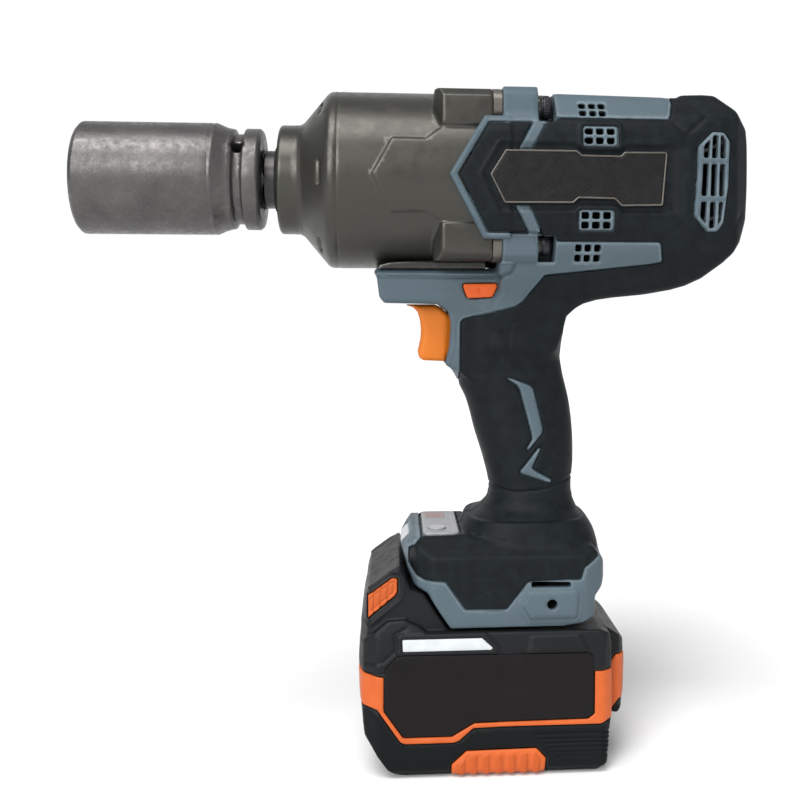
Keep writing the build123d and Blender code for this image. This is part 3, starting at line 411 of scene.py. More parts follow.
BATT_BLACK = surface("battery_black", (0.0065, 0.0072, 0.0080), 0.48, spec=0.18, grain=1700.0, depth=0.00012, strength=0.6, vary=0.22, worn=(0.045, 0.048, 0.052), wear=0.5, hollow_shade=0.3)
BATT_LOW = surface("battery_low", (0.0046, 0.0058, 0.0064), 0.52, spec=0.10, grain=1700.0, depth=0.0001, strength=0.55, vary=0.2, worn=(0.05, 0.056, 0.056), wear=0.5, hollow_shade=0.3)
LABEL = surface("label_film", (0.0066, 0.0056, 0.0058), 0.38, spec=0.12, grain=3000.0, depth=0.00002, strength=0.3, vary=0.12, patch=14.0, rvar=0.05)
WHITE = surface("label_white", (0.40, 0.42, 0.43), 0.45, grain=2500.0, depth=0.00002, strength=0.3, vary=0.05, rvar=0.05, hollow_shade=0.2)
LIP = surface("case_lip", (0.045, 0.044, 0.042), 0.30, metallic=0.8, grain=2400.0, vary=0.2, worn=(0.36, 0.35, 0.34), wear=0.7)
SCREW = surface("black_oxide", (0.030, 0.030, 0.032), 0.34, metallic=0.7, grain=2400.0, vary=0.3, worn=(0.22, 0.22, 0.22), wear=0.6)
STEEL = surface("ground_steel", (0.42, 0.41, 0.40), 0.30, metallic=1.0, grain=2200.0, depth=0.00003, vary=0.12, brushed=(1.0, 0.2, 0.2))
DARK_STEEL = surface("dark_steel", (0.055, 0.053, 0.052), 0.38, metallic=0.8, grain=2200.0, vary=0.25, worn=(0.3, 0.3, 0.3))
PANEL = surface("panel_silver", (0.20, 0.205, 0.22), 0.36, metallic=0.25, grain=2600.0, vary=0.08, worn=(0.5, 0.5, 0.5))
BUTTON = surface("button_grey", (0.27, 0.27, 0.29), 0.34, grain=2400.0, vary=0.08)
PANEL_MARK = surface("panel_mark", (0.27, 0.17, 0.16), 0.42, grain=2400.0, vary=0.1)
SEAL = surface("seal_rubber", (0.012, 0.012, 0.012), 0.6, grain=1800.0)
BRONZE = surface("sintered_bronze", (0.42, 0.28, 0.14), 0.42, metallic=0.85, grain=1500.0, vary=0.2)
COPPER = surface("enamelled_copper", (0.52, 0.20, 0.08), 0.3, metallic=0.8, grain=1200.0, vary=0.2, brushed=(0.2, 1.0, 1.0))
INSUL = surface("insulator", (0.55, 0.52, 0.44), 0.5, vary=0.1)
FANM = surface("fan_plastic", (0.018, 0.018, 0.019), 0.45, vary=0.2)
GREEN = surface("solder_mask", (0.015, 0.11, 0.04), 0.35, grain=900.0, vary=0.35, speck=(700.0, 0.62, 0.7, (0.45, 0.43, 0.36)))
MAGNET = surface("nickel_plate", (0.42, 0.42, 0.43), 0.3, metallic=1.0, vary=0.1)
WRAP = surface("cell_wrap", (0.05, 0.22, 0.30), 0.3, vary=0.08)
SHEATH = surface("wire_sheath", (0.42, 0.02, 0.015), 0.42, vary=0.08)

LENS = surface("diffuser", (0.30, 0.33, 0.33), 0.22, grain=1500.0, depth=0.00003, strength=0.3, vary=0.05, rvar=0.05, coat=0.3)

KEEP = {"mount_plate": PLATE_RIM, "nose_seal": SEAL, "nose_bushing": BRONZE, "anvil": DARK_STEEL, "anvil_ring": DARK_STEEL, "hammer": STEEL, "spindle": STEEL, "planet_pins": STEEL,
        "cam_balls": STEEL, "hammer_spring": STEEL, "thrust_washer": STEEL, "ring_gear": STEEL, "sun_pinion": STEEL, "rotor_shaft": STEEL, "gear_case": CASE,
        "carrier_bearing": DARK_STEEL, "rotor_bearing_front": DARK_STEEL, "rotor_bearing_rear": DARK_STEEL, "rotor_core": DARK_STEEL, "stator": DARK_STEEL, "windings": COPPER,
        "stator_insulators": INSUL, "rotor_magnets": MAGNET, "fan": FANM, "hall_board": GREEN, "control_board": GREEN, "bms_board": GREEN, "led_board": GREEN, "led_lens": LENS,
        "trigger_spring": STEEL, "trigger_switch": FANM, "terminal_block": FANM, "motor_leads": SHEATH, "housing_screws": DARK_STEEL, "cells": WRAP, "nickel_strips": MAGNET,
        "battery_terminals": BRONZE, "latch_spring_left": STEEL, "latch_spring_right": STEEL, "mode_button": BUTTON}
for nm, ob in NODES.items():
    mt = KEEP.get(nm)
    if mt is None:
        mt = STEEL if nm.startswith("planet") else BATT_BLACK
    if not ob.material_slots:
        ob.data.materials.append(mt)
    for sl in ob.material_slots:
        sl.material = mt

# ---------------------------------------------------------------- outlines shared by the tool halves
BODY = [(3.6, 280.9), (28.2, 280.5), (78.0, 279.4), (80.2, 281.1), (89.0, 281.7), (94.0, 281.2), (109.0, 266.8), (110.8, 260.0), (111.5, 251.0), (111.0, 243.0), (109.0, 228.0),
        (104.8, 218.4), (96.8, 209.7), (88.8, 203.2), (82.5, 200.1), (76.8, 198.4), (65.4, 196.3), (52.4, 195.0), (45.6, 194.0), (40.0, 192.4), (36.6, 190.4), (33.0, 187.0),
        (31.5, 180.0), (28.0, 172.0), (0.0, 172.0), (-11.0, 180.0), (3.6, 196.0)]
SECTION = [(20.0, 283.9), (27.5, 281.0), (36.5, 270.5), (40.5, 262.5), (40.5, 227.5), (36.0, 214.0), (28.0, 202.0), (21.0, 193.0), (17.0, 180.0), (17.0, 170.0)]
PLAN = [(0.0, 40.5), (86.0, 40.5), (101.0, 36.5), (108.5, 27.0), (111.8, 15.0), (111.8, -15.0), (108.5, -27.0), (101.0, -36.5), (86.0, -40.5), (0.0, -40.5)]
BEAM = [(-48.2, 205.6), (-46.8, 195.0), (-44.8, 192.4), (-21.6, 191.9), (-17.6, 188.8), (-16.4, 184.0), (-17.0, 174.0), (-18.8, 166.0), (-16.0, 164.2), (-10.0, 161.0),
        (6.0, 152.0), (12.0, 170.0), (12.0, 190.0), (13.4, 193.1), (21.9, 204.2), (8.0, 207.2), (-47.8, 207.2)]
BEAM_SEC = [(8.0, 208.0), (15.0, 206.8), (18.3, 204.0), (18.3, 194.0), (16.4, 188.0), (16.0, 172.0), (14.4, 160.0), (12.0, 150.0)]
HANDLE = [(196.0, -11.0, 31.5, 17.6), (192.0, -11.0, 31.5, 17.5), (176.0, -12.4, 31.4, 17.0), (163.0, -14.2, 33.2, 17.0), (150.0, -8.8, 36.2, 17.2), (136.5, -5.1, 37.8, 17.6),
          (124.0, -1.2, 38.0, 17.8), (112.0, 1.3, 37.2, 17.8), (107.5, 1.2, 37.6, 18.2), (104.0, -1.5, 39.0, 19.6)]
BELL = [(110.0, 1.2, 37.2, 17.8, 2.5), (107.5, 0.7, 37.6, 18.4, 2.5), (105.2, -0.8, 38.5, 19.8, 2.55), (103.2, -3.2, 39.7, 22.2, 2.6), (101.6, -5.8, 40.8, 24.6, 2.7), (100.2, -7.6, 41.6, 26.0, 2.8),
        (96.0, -9.4, 44.0, 27.4, 2.9), (91.0, -11.0, 45.0, 29.0, 3.0)]
RING = [(100.9, -9.2, 42.8, 27.4, 2.8), (98.5, -10.2, 44.4, 28.6, 2.9), (95.5, -11.3, 46.1, 29.9, 3.0), (92.0, -12.6, 47.2, 31.3, 3.1), (87.0, -14.6, 48.0, 33.2, 3.6), (82.0, -15.0, 48.4, 33.6, 4.0)]
FOOT = [(-37.6, 90.6), (-32.6, 95.6), (-12.0, 96.2), (-4.0, 96.0), (42.0, 92.0), (47.0, 86.0), (48.6, 84.0), (48.6, 77.0), (43.0, 71.4), (42.8, 63.2), (37.0, 61.2), (29.5, 60.0),
        (-17.1, 59.8), (-21.4, 66.3), (-26.5, 74.2), (-32.3, 76.5), (-35.0, 82.0), (-35.9, 85.0)]
FOOT_SEC = [(14.0, 104.6), (19.5, 103.2), (25.0, 96.4), (35.9, 88.2), (36.3, 80.0), (36.2, 66.0), (35.4, 59.0)]
FOOT_PLAN = [(-38.0, 11.0), (-35.5, 21.0), (-31.0, 31.0), (-24.0, 36.6), (38.0, 36.6), (46.0, 31.0), (49.2, 20.0), (49.2, -20.0), (46.0, -31.0), (38.0, -36.6), (-24.0, -36.6), (-31.0, -31.0),
             (-35.5, -21.0), (-38.0, -11.0)]
TONGUE = [(-18.4, 244.8), (-3.9, 269.2), (7.0, 269.2), (7.0, 218.8), (-4.3, 218.8)]
TONGUE_BLACK = [(-14.9, 244.8), (-2.2, 266.4), (7.6, 266.4), (7.6, 221.5), (-2.8, 221.5)]
COVER = [(-28.0, 112.0), (-28.0, 96.0), (-33.9, 90.6), (-34.0, 84.0), (-31.1, 81.0), (-27.8, 79.6), (-19.4, 79.2), (-11.2, 67.6), (5.7, 67.4), (14.4, 78.4), (36.6, 79.2),
         (38.0, 83.9), (44.0, 87.9), (60.0, 95.0), (60.0, 112.0)]
G_LOW = [(-70.0, 214.0), (-70.0, 158.0), (-19.5, 158.0), (-17.0, 163.6), (-15.6, 164.4), (-13.6, 170.6), (-12.5, 176.7), (-12.5, 184.0), (-11.2, 185.8), (10.4, 191.0), (13.6, 193.2), (21.9, 204.2),
         (65.1, 208.8), (70.7, 209.8), (68.9, 218.0), (18.3, 218.0), (18.3, 221.5), (-3.0, 221.5), (-5.0, 214.0)]
G_FRONT = [(-40.0, 208.0), (6.2, 208.0), (6.2, 292.0), (-40.0, 292.0)]
G_LUG = [(-6.0, 266.5), (18.3, 266.5), (18.3, 295.0), (-6.0, 295.0)]
G_TOP = [(25.0, 295.0), (74.2, 295.0), (74.6, 275.6), (72.3, 268.4), (25.0, 268.4)]
BAND_U = [(16.2, 267.5), (21.6, 267.5), (15.2, 255.6), (10.0, 255.6)]
BAND_L = [(8.8, 232.4), (14.2, 232.4), (19.8, 220.2), (14.6, 220.2)]
REARVENT = [(84.0, 257.4), (90.4, 263.6), (95.4, 263.5), (98.0, 259.8), (97.3, 241.2), (95.1, 226.2), (92.8, 222.7), (88.3, 222.3), (82.2, 228.8), (83.3, 241.1)]
VENT_B = [(36.2, 265.1), (50.3, 265.1), (50.3, 257.0), (36.2, 257.0)]
VENT_C = [(34.6, 230.6), (48.9, 230.6), (48.9, 222.5), (34.6, 222.5)]
INSERT1 = [(7.3, 160.6), (8.6, 160.6), (15.0, 158.4), (17.4, 157.5), (18.9, 155.9), (23.1, 138.6), (22.5, 136.5), (16.9, 129.8), (15.7, 130.2), (18.3, 134.5), (17.9, 137.2), (12.9, 155.6), (11.7, 157.6)]
INSERT2 = [(21.0, 130.8), (22.2, 130.4), (18.4, 122.3), (19.3, 121.3), (26.7, 117.1), (26.7, 115.9), (25.4, 115.8), (13.8, 119.8), (13.0, 120.8)]
NAMEPLATE = [(-2.0, 244.9), (4.2, 254.9), (33.4, 255.0), (35.5, 253.2), (51.5, 253.0), (53.0, 254.6), (70.4, 254.8), (70.8, 253.6), (69.0, 232.7), (51.9, 232.3), (49.0, 235.2),
             (34.2, 235.4), (32.0, 233.4), (3.9, 233.2)]
RECESS = [(-4.6, 245.0), (2.7, 257.4), (32.4, 257.4), (35.5, 255.0), (51.7, 254.8), (53.9, 257.0), (79.0, 257.0), (79.0, 229.9), (53.2, 229.9), (49.9, 232.6), (34.2, 232.8), (31.6, 230.6), (2.3, 230.6)]
FR = [(-11.3, 200.6), (2.5, 200.8), (3.1, 199.5), (1.0, 195.3), (-0.1, 195.0), (-8.9, 194.6), (-10.0, 195.1), (-11.5, 199.4)]
HOOK = [(12.2, 69.2), (15.0, 74.4), (34.4, 74.8), (35.3, 73.6), (34.6, 64.2), (33.4, 63.6), (15.4, 63.6)]
LUG_Y, LUG_Z, CASE_R = 27.5, 28.5, 38.1
BOSSES = [(99.0, 262.0, 34.0), (99.0, 229.0, 34.0), (58.0, 206.6, 28.5), (27.0, 146.0, 13.6), (6.8, 124.0, 12.8), (40.0, 84.0, 33.5)]


def build_tool_half(near):
    v = Vol(-50.0, 113.5, -42.5, 0.9, 57.5, 284.6, 0.6)
    X, A, Z = v.X, v.A, v.Z
    r_ax = np.sqrt(v.Y ** 2 + (Z - F(AZ)) ** 2)
    sec = poly(A, Z, rp(sym(SECTION), 4.0))
    bar = rmax(rmax(poly(X, Z, rp(BODY, 3.0)), sec, 2.2), poly(X, A, rp(PLAN, 5.0)), 3.0)
    bar = rmax(bar, -np.maximum(np.maximum(X - F(19.3), Z - F(221.7)), F(35.0) - A), 0.4)
    dz = np.abs(Z - F(AZ))
    lug = rmax(np.abs(A - F(27.5)) - F(8.9), np.abs(dz - F(28.6)) - F(7.7), 1.4)
    lug = rmax(lug, ((A - F(27.5)) + (dz - F(28.6)) - F(13.6)) * F(0.7071), 0.4)
    lug = rmax(lug, np.abs(X - F(11.0)) - F(7.3), 0.5)
    bar = rmin(bar, lug, 0.4)
    tongue = rmax(rmax(poly(X, Z, rp(TONGUE, 0.8)), sec, 0.9), F(38.3) - r_ax, 0.3)
    tongue = np.maximum(tongue, -np.maximum(np.maximum(A - F(34.8), F(19.4) - np.abs(Z - F(AZ))), X - F(3.6)))
    beam = rmax(poly(X, Z, rp(BEAM, 1.5)), poly(A, Z, rp(sym(BEAM_SEC), 2.4)), 1.6)
    hand = lofted(v, HANDLE, 2.5)
    foot = rmax(rmax(poly(X, Z, rp(FOOT, 1.2)), poly(A, Z, rp(sym(FOOT_SEC), 1.2)), 0.9), poly(X, A, rp(FOOT_PLAN, 4.0)), 1.4)
    foot = rmin(foot, lofted(v, RING, 2.8), 0.7)
    foot = rmin(foot, lofted(v, BELL, 2.6), 0.5)
    f = rmin(bar, hand, 7.0)
    f = rmin(f, beam, 3.0)
    f = rmin(f, foot, 1.2)
    f = rmin(f, tongue, 0.5)
    del bar, hand, beam, foot, tongue, lug

    # relief in the side view
    side = ss(24.0, 31.0, A)
    rec = poly(X, Z, rp(RECESS, 1.2))
    fade = 1 - ss(72.0, 79.5, X)
    det = (F(1.15) - F(0.55) * ss(9.0, 5.0, np.broadcast_to(X, X.shape))) * ss(0.9, -0.9, rec) * fade
    det = det - F(0.35) * gauss(rec - F(1.3), 0.9) * fade
    pts_b = poly(X, Z, rp(VENT_B, 1.0))
    pts_c = poly(X, Z, rp(VENT_C, 1.0))
    for pv in (pts_b, pts_c):
        det = det - F(0.55) * ss(2.6, 1.6, pv) + F(0.35) * ss(0.5, -0.1, pv)
    rv = poly(X, Z, rp(REARVENT, 1.2))
    det = det - F(0.5) * ss(0.7, 0.1, rv) + F(0.3) * gauss(rv - F(1.2), 0.7)
    det = det + F(0.45) * gauss(line_dist(X, Z, [(21.0, 268.0), (74.0, 267.0), (79.0, 262.0), (88.0, 270.0), (98.0, 268.0)]), 0.9)
    det = det + F(0.4) * gauss(line_dist(X, Z, [(20.0, 219.6), (71.0, 219.4), (78.0, 226.0)]), 0.8)
    det = det + F(0.3) * gauss(line_dist(X, Z, [(72.0, 209.0), (84.0, 216.0), (96.0, 220.0), (104.0, 230.0)]), 1.2)
    f = f + det * side
    f = f - F(0.9) * ss(0.35, -0.35, poly(X, Z, [(-49.5, 204.4), (4.0, 204.2), (7.4, 205.6), (8.4, 209.5), (-49.5, 209.5)])) * ss(9.0, 14.0, A)
    f = f + F(0.95) * gauss(line_dist(X, Z, [(-47.0, 203.5), (4.2, 203.3), (8.2, 205.0), (9.4, 208.0)]), 0.5) * ss(9.0, 14.0, A)
    hz = ss(8.0, 13.0, A)
    f = f + F(0.55) * gauss(line_dist(X, Z, [(21.0, 186.0), (10.0, 184.6), (8.6, 182.0), (8.0, 176.7), (7.7, 166.9)]), 0.7) * hz
    f = f + F(0.35) * gauss(line_dist(X, Z, [(-16.0, 163.5), (-8.0, 162.0), (6.0, 163.5), (22.0, 167.0)]), 2.4) * hz
    zs = np.interp(X[:, 0, 0], [-4.0, 0.0, 11.3, 23.0, 34.5, 40.0], [114.0, 113.6, 111.9, 113.0, 116.7, 118.0]).astype(F)[:, None, None]
    f = f + F(0.75) * gauss(Z - zs, 0.42)
    f = f + F(0.5) * gauss(line_dist(X, Z, [(-9.6, 96.9), (-7.8, 95.6), (-4.0, 94.7), (6.6, 94.0)]), 0.5) * ss(14.0, 20.0, A)
    fs = ss(26.0, 33.0, A)
    mark = np.minimum(line_dist(X, Z, [(-8.0, 80.4), (1.2, 80.4)]), line_dist(X, Z, [(-6.0, 73.2), (-1.6, 75.4), (3.4, 72.8)]))
    f = f + F(0.28) * gauss(mark, 0.4) * fs
    if near:
        hk = poly(X, Z, rp(HOOK, 0.8))
        f = f - (F(1.4) * ss(0.35, -0.35, hk) + F(0.6) * ss(2.4, 1.9, hk)) * fs * ss(38.0, 36.4, np.broadcast_to(X, X.shape))
        hole = rmax(np.sqrt((X - F(24.4)) ** 2 + (Z - F(69.4)) ** 2) - F(2.1), F(28.6) - A, 0.2)
        slot = rmax(rrect(X, Z, 16.0, 32.2, 76.2, 78.2, 0.5), F(30.6) - A, 0.2)
    else:
        hole = slot = None

    # where the grey nylon shows
    gr = np.minimum(poly(X, Z, rp(G_LOW, 0.9)), np.maximum(poly(X, Z, G_FRONT), -poly(X, Z, rp(TONGUE_BLACK, 0.7))))
    for p, r in ((BAND_U, 0.2), (BAND_L, 0.2), (INSERT1, 0.5), (INSERT2, 0.4)):
        gr = np.minimum(gr, poly(X, Z, rp(p, r)))
    gr = np.minimum(gr, np.minimum(np.minimum(pts_b, pts_c), rv))
    cover = poly(X, Z, rp(COVER, 1.0))
    ft = np.maximum(-cover, Z - F(106.0))
    ft = np.maximum(ft, F(50.0) - Z)
    gr = np.minimum(gr, ft)
    gr = np.minimum(gr, np.maximum(rrect(X, v.Y, -28.6, -12.4, -24.2, 24.2, 3.0), F(92.0) - Z))
    strip = poly(X, Z, rp(G_TOP, 0.9))
    lug = poly(X, Z, rp(G_LUG, 0.5))
    gr = np.minimum(gr, rmax(np.minimum(strip, lug), F(17.0) - A, 0.6))
    line_in = np.minimum(np.minimum(strip, poly(X, Z, rp(G_LOW, 0.9))), ft)
    f_g = f + F(0.28) * gauss(line_in + F(1.35), 0.34) * ss(10.0, 15.0, A)
    cv = np.minimum(np.abs(poly(X, Z, rp([(-17.2, 244.8), (-3.4, 268.0), (7.0, 268.0), (7.0, 220.0), (-3.8, 220.0)], 0.6))), F(3.0))
    f_g = f_g - F(0.35) * gauss(cv, 0.9) * ss(28.0, 33.0, A) * ss(6.5, 5.0, np.broadcast_to(X, X.shape))

    # cuts shared by skin and shell
    cut = rrect(X, Z, 35.2, 37.8, 272.9, 275.1, 0.5)
    for xs, zs_, w, h in (((36.5, 40.7, 44.6), (274.0, 270.6), 2.9, 2.3), ((38.6, 43.0, 47.5), (262.8, 259.1), 3.3, 2.6), ((37.1, 41.6, 46.1), (228.5, 224.6), 3.3, 2.8), ((34.9, 38.8, 42.8), (215.4, 211.3), 2.8, 2.8)):
        for xx in xs:
            for zz in zs_:
                cut = np.minimum(cut, rrect(X, Z, xx - w / 2, xx + w / 2, zz - h / 2, zz + h / 2, 0.6))
    colm = np.minimum(np.minimum(np.abs(X - F(86.9) - (Z - F(243)) * F(0.055)) - F(1.25), np.abs(X - F(90.7) - (Z - F(243)) * F(0.04)) - F(1.25)), np.abs(X - F(94.4) - (Z - F(243)) * F(0.03)) - F(1.2))
    rows = np.maximum(F(1.2) - np.abs(Z - F(251.5)), F(1.2) - np.abs(Z - F(235.8)))
    cut = np.minimum(cut, rmax(rmax(colm, rv + F(1.35), 0.5), np.broadcast_to(rows, colm.shape), 0.5))
    cut = rmax(cut, F(27.0) - A, 0.3)
    pocket = rmax(rmax(np.abs(X - F(21.9)) - F(3.5), F(20.6) - A, 0.6), np.maximum(F(21.4) - np.abs(Z - F(AZ)), F(209.6) - Z), 0.6)
    pocket = np.maximum(pocket, np.minimum(np.minimum(Z - F(220.2), A - F(33.2)), F(AZ) - Z))
    liner = np.maximum(np.maximum(pocket - F(1.6), f + F(1.0)), F(30.2) - r_ax)
    bay = np.maximum(np.maximum(np.abs(X + F(11.0)) - F(49.0), A - F(27.6)), Z - F(72.8))
    rail = np.maximum(np.maximum(np.abs(X - F(4.5)) - F(32.5), F(24.4) - A), np.abs(Z - F(61.1)) - F(2.1))
    bay = np.maximum(bay, -rail)
    trg = np.maximum(np.maximum(np.abs(X + F(17.5)) - F(22.5), A - F(9.6)), np.abs(Z - F(179.4)) - F(13.2))
    frc = poly(X, Z, rp(FR, 0.5)) - F(0.22)
    lens = np.maximum(np.maximum(X + F(33.0), A - F(11.2)), np.abs(Z - F(91.3)) - F(2.6))
    seat = rmax(rrect(X, v.Y, -28.1, -12.9, -23.7, 23.7, 2.8), np.abs(Z - F(98.2)) - F(3.0), 0.2)
    front = np.maximum(X - F(12.0), r_ax - F(33.0))
    mount = np.maximum(X - F(3.5), r_ax - F(38.2))

    def carve(g):
        g = rmax(g, -cut, 0.3)
        g = rmax(g, -pocket, 0.4)
        g = np.maximum(g, -bay)
        g = rmax(g, -trg, 0.4)
        g = rmax(g, -frc, 0.35)
        g = np.maximum(g, -lens)
        g = rmax(g, -seat, 0.25)
        g = np.maximum(g, -front)
        g = np.maximum(g, -mount)
        if near:
            g = rmax(g, -hole, 0.3)
            g = rmax(g, -slot, 0.3)
        else:
            for x, z, hy in BOSSES:
                g = rmax(g, -np.maximum(np.sqrt((X - F(x)) ** 2 + (Z - F(z)) ** 2) - F(3.7), F(hy - 2.6) - A), 0.3)
        return rmax(g, v.Y + F(0.06), 0.35)

    skin = np.maximum(rmax(f, -gr + F(0.2), 0.5), -(f + F(1.35) - F(0.55) * ss(9.0, 5.0, np.broadcast_to(X, X.shape)) * ss(209.0, 212.0, Z)))
    skin = solid(v, carve(skin), 0.02)
    shell = np.minimum(f + F(1.35), rmax(f_g, gr + F(0.2), 0.5))
    shell = np.maximum(shell, -(f + F(4.2)))
    shell = np.minimum(shell, liner)
    shell = solid(v, carve(shell), 0.02)
    return (shell, skin) if near else (flip(shell), flip(skin))


def build_case():
    v = Vol(-91.0, 0.6, -40.8, 40.8, AZ - 40.8, AZ + 40.8, 0.6)
    prof = [(-89.6, -5.0), (-89.6, 22.4), (-88.6, 23.5), (-81.2, 23.5), (-79.2, 24.5), (-70.0, 35.6), (-68.8, 37.0), (-67.4, 37.9), (-65.6, 38.1), (-0.3, 38.1), (-0.3, -5.0)]
    f = revolve(v, rp(prof, 0.9))
    X, A, Z = v.X, v.A, v.Z
    dz = np.abs(Z - F(AZ))
    arrow = poly(X, Z, rp([(-49.6, 244.8), (-41.6, 259.6), (-27.9, 259.4), (-20.6, 265.2), (-8.0, 270.0), (4.0, 270.0), (4.0, 219.0), (-18.0, 224.6), (-28.2, 230.0), (-42.4, 229.5)], 0.6))
    f = f - F(0.8) * ss(0.75, -0.75, arrow) * ss(20.0, 30.0, A)
    f = f + F(0.25) * gauss(X + F(64.0), 0.35)
    lug = rmax(rmax(np.abs(A - F(27.0)) - F(7.9), np.abs(dz - F(27.6)) - F(7.9), 1.4), rmax(-X - F(24.4), X + F(0.3), 0.3), 0.9)
    lug = rmax(lug, ((A - F(27.0)) + (dz - F(27.6)) - F(12.3)) * F(0.7071), 0.5)
    chf = (-X - F(24.2)) * F(0.88) + (A - F(29.0)) * F(0.47)
    lug = rmax(lug, np.broadcast_to(chf, lug.shape), 0.6)
    f = rmin(f, lug, 1.1)
    ang = np.arctan2(v.Y, Z - F(AZ))
    k = np.round((ang - F(math.pi / 6)) / F(math.pi / 3))
    loc = ang - F(math.pi / 6) - k * F(math.pi / 3)
    r_ax = np.sqrt(v.Y ** 2 + (Z - F(AZ)) ** 2)
    pk = rmax(rmax(np.abs(loc) * r_ax - F(5.4), np.abs(X + F(73.6)) - F(3.0), 1.4), F(32.6) - r_ax, 0.8)
    f = rmax(f, -pk, 0.5)
    inner = revolve(v, [(-95.0, -5.0), (-95.0, 17.3), (-84.8, 17.3), (-84.8, 16.0), (-62.6, 16.0), (-62.6, 30.0), (-60.0, 33.0), (5.0, 33.0), (5.0, -5.0)])
    return solid(v, rmax(f, -inner, 0.4), 0.02)


def build_lip():
    v = Vol(-48.6, -0.9, -20.8, 20.8, 205.8, 212.4, 0.35)
    f = rmax(poly(v.A, v.Z, rp(sym([(4.0, 206.4), (18.4, 206.4), (19.5, 207.4), (19.6, 210.0), (16.0, 211.6), (4.0, 211.6)]), 0.5)),
             poly(v.X, v.Z, rp([(-47.6, 206.6), (-46.6, 208.5), (-42.0, 209.7), (-30.0, 210.4), (-18.0, 210.9), (-4.0, 210.8), (-1.9, 209.8), (-1.9, 206.6)], 0.6)), 0.5)
    r = np.sqrt(v.Y ** 2 + (v.Z - F(AZ)) ** 2)
    f = rmax(f, np.broadcast_to(F(38.15) - r, f.shape), 0.15)
    return solid(v, rmax(f, np.broadcast_to(F(13.2) - v.A, f.shape), 0.3), 0.02)


def build_socket():
    v = Vol(-175.0, -95.6, -25.2, 25.2, AZ - 25.2, AZ + 25.2, 0.5)
    prof = [(-173.6, -5.0), (-173.6, 22.2), (-171.9, 24.0), (-116.2, 24.0), (-111.4, 21.9), (-108.6, 21.5), (-107.6, 19.4), (-104.6, 19.4), (-103.8, 21.8), (-98.0, 21.8), (-96.8, 20.6), (-96.8, -5.0)]
    f = revolve(v, rp(prof, 0.55))
    f = f + F(0.22) * gauss(v.X + F(117.6), 0.4)
    f = f + F(0.14) * gauss(v.X + F(169.0), 0.3)
    Y, Z = v.Y, v.Z - F(AZ)
    hx = None
    for k in range(3):
        t = math.radians(60 * k + 0.0)
        d = np.abs(Y * F(math.cos(t)) + Z * F(math.sin(t))) - F(16.0)
        hx = d if hx is None else rmax(hx, d, 0.5)
    hexc = np.maximum(hx, v.X + F(131.6))
    r = np.sqrt(Y ** 2 + Z ** 2)
    lead = np.maximum(r - F(20.0) + (v.X + F(173.6)) * F(0.85), v.X + F(167.0))
    relief = np.maximum(r - F(15.0), np.abs(v.X + F(127.5)) - F(4.6))
    t = math.radians(-38.0)
    yr, zr = Y * F(math.cos(t)) + Z * F(math.sin(t)), -Y * F(math.sin(t)) + Z * F(math.cos(t))
    sq = np.maximum(rmax(np.abs(yr) - F(9.65), np.abs(zr) - F(9.65), 0.6), -v.X - F(124.0))
    f = rmax(f, -hexc, 0.4)
    f = rmax(f, -lead, 0.4)
    f = np.maximum(f, -relief)
    f = rmax(f, -sq, 0.5)
    cr = np.sqrt((v.X + F(106.1)) ** 2 + zr ** 2) - F(2.8)
    return solid(v, rmax(f, -cr, 0.4), 0.02)


def build_trigger():
    v = Vol(-38.0, 0.5, -10.2, 10.2, 165.5, 193.5, 0.35)
    pts = [(-36.0, 191.7), (-22.7, 191.7), (-20.1, 190.4), (-17.5, 187.8), (-16.5, 185.2), (-16.5, 179.9), (-17.1, 172.0), (-18.2, 167.2), (-27.9, 167.6), (-29.7, 168.7), (-30.2, 170.9), (-29.6, 173.8),
           (-28.9, 177.2), (-28.8, 180.8), (-29.2, 184.7), (-30.3, 188.3), (-32.3, 190.4), (-35.0, 191.3)]
    f = rmax(poly(v.X, v.Z, rp(pts, 1.3)), v.A - F(9.0), 2.2)
    f = f + F(0.35) * gauss(v.A - F(5.2), 0.45) * ss(-27.5, -28.4, np.broadcast_to(v.X, v.X.shape))
    f = f + F(0.3) * gauss(v.A, 0.4) * ss(-27.5, -28.4, np.broadcast_to(v.X, v.X.shape))
    stem = rbox(v, -19.0, -1.4, -8.0, 8.0, 170.0, 187.0, 0.8)
    bore = np.maximum(np.sqrt(v.Y ** 2 + (v.Z - F(178.5)) ** 2) - F(4.6), -v.X - F(13.0))
    f = np.maximum(rmin(f, stem, 0.6), -bore)
    return solid(v, f, 0.02)


def build_selector():
    v = Vol(-12.6, 4.3, -22.0, 22.0, 193.6, 201.9, 0.3)
    f = rmax(poly(v.X, v.Z, rp(FR, 0.6)), v.A - F(20.6), 0.8)
    tri = poly(v.X, v.Z, [(-5.0, 199.2), (-5.0, 196.2), (-2.0, 197.7)])
    f = f + F(0.35) * ss(0.15, -0.2, tri) * ss(19.0, 20.0, v.A)
    return solid(v, f, 0.02)


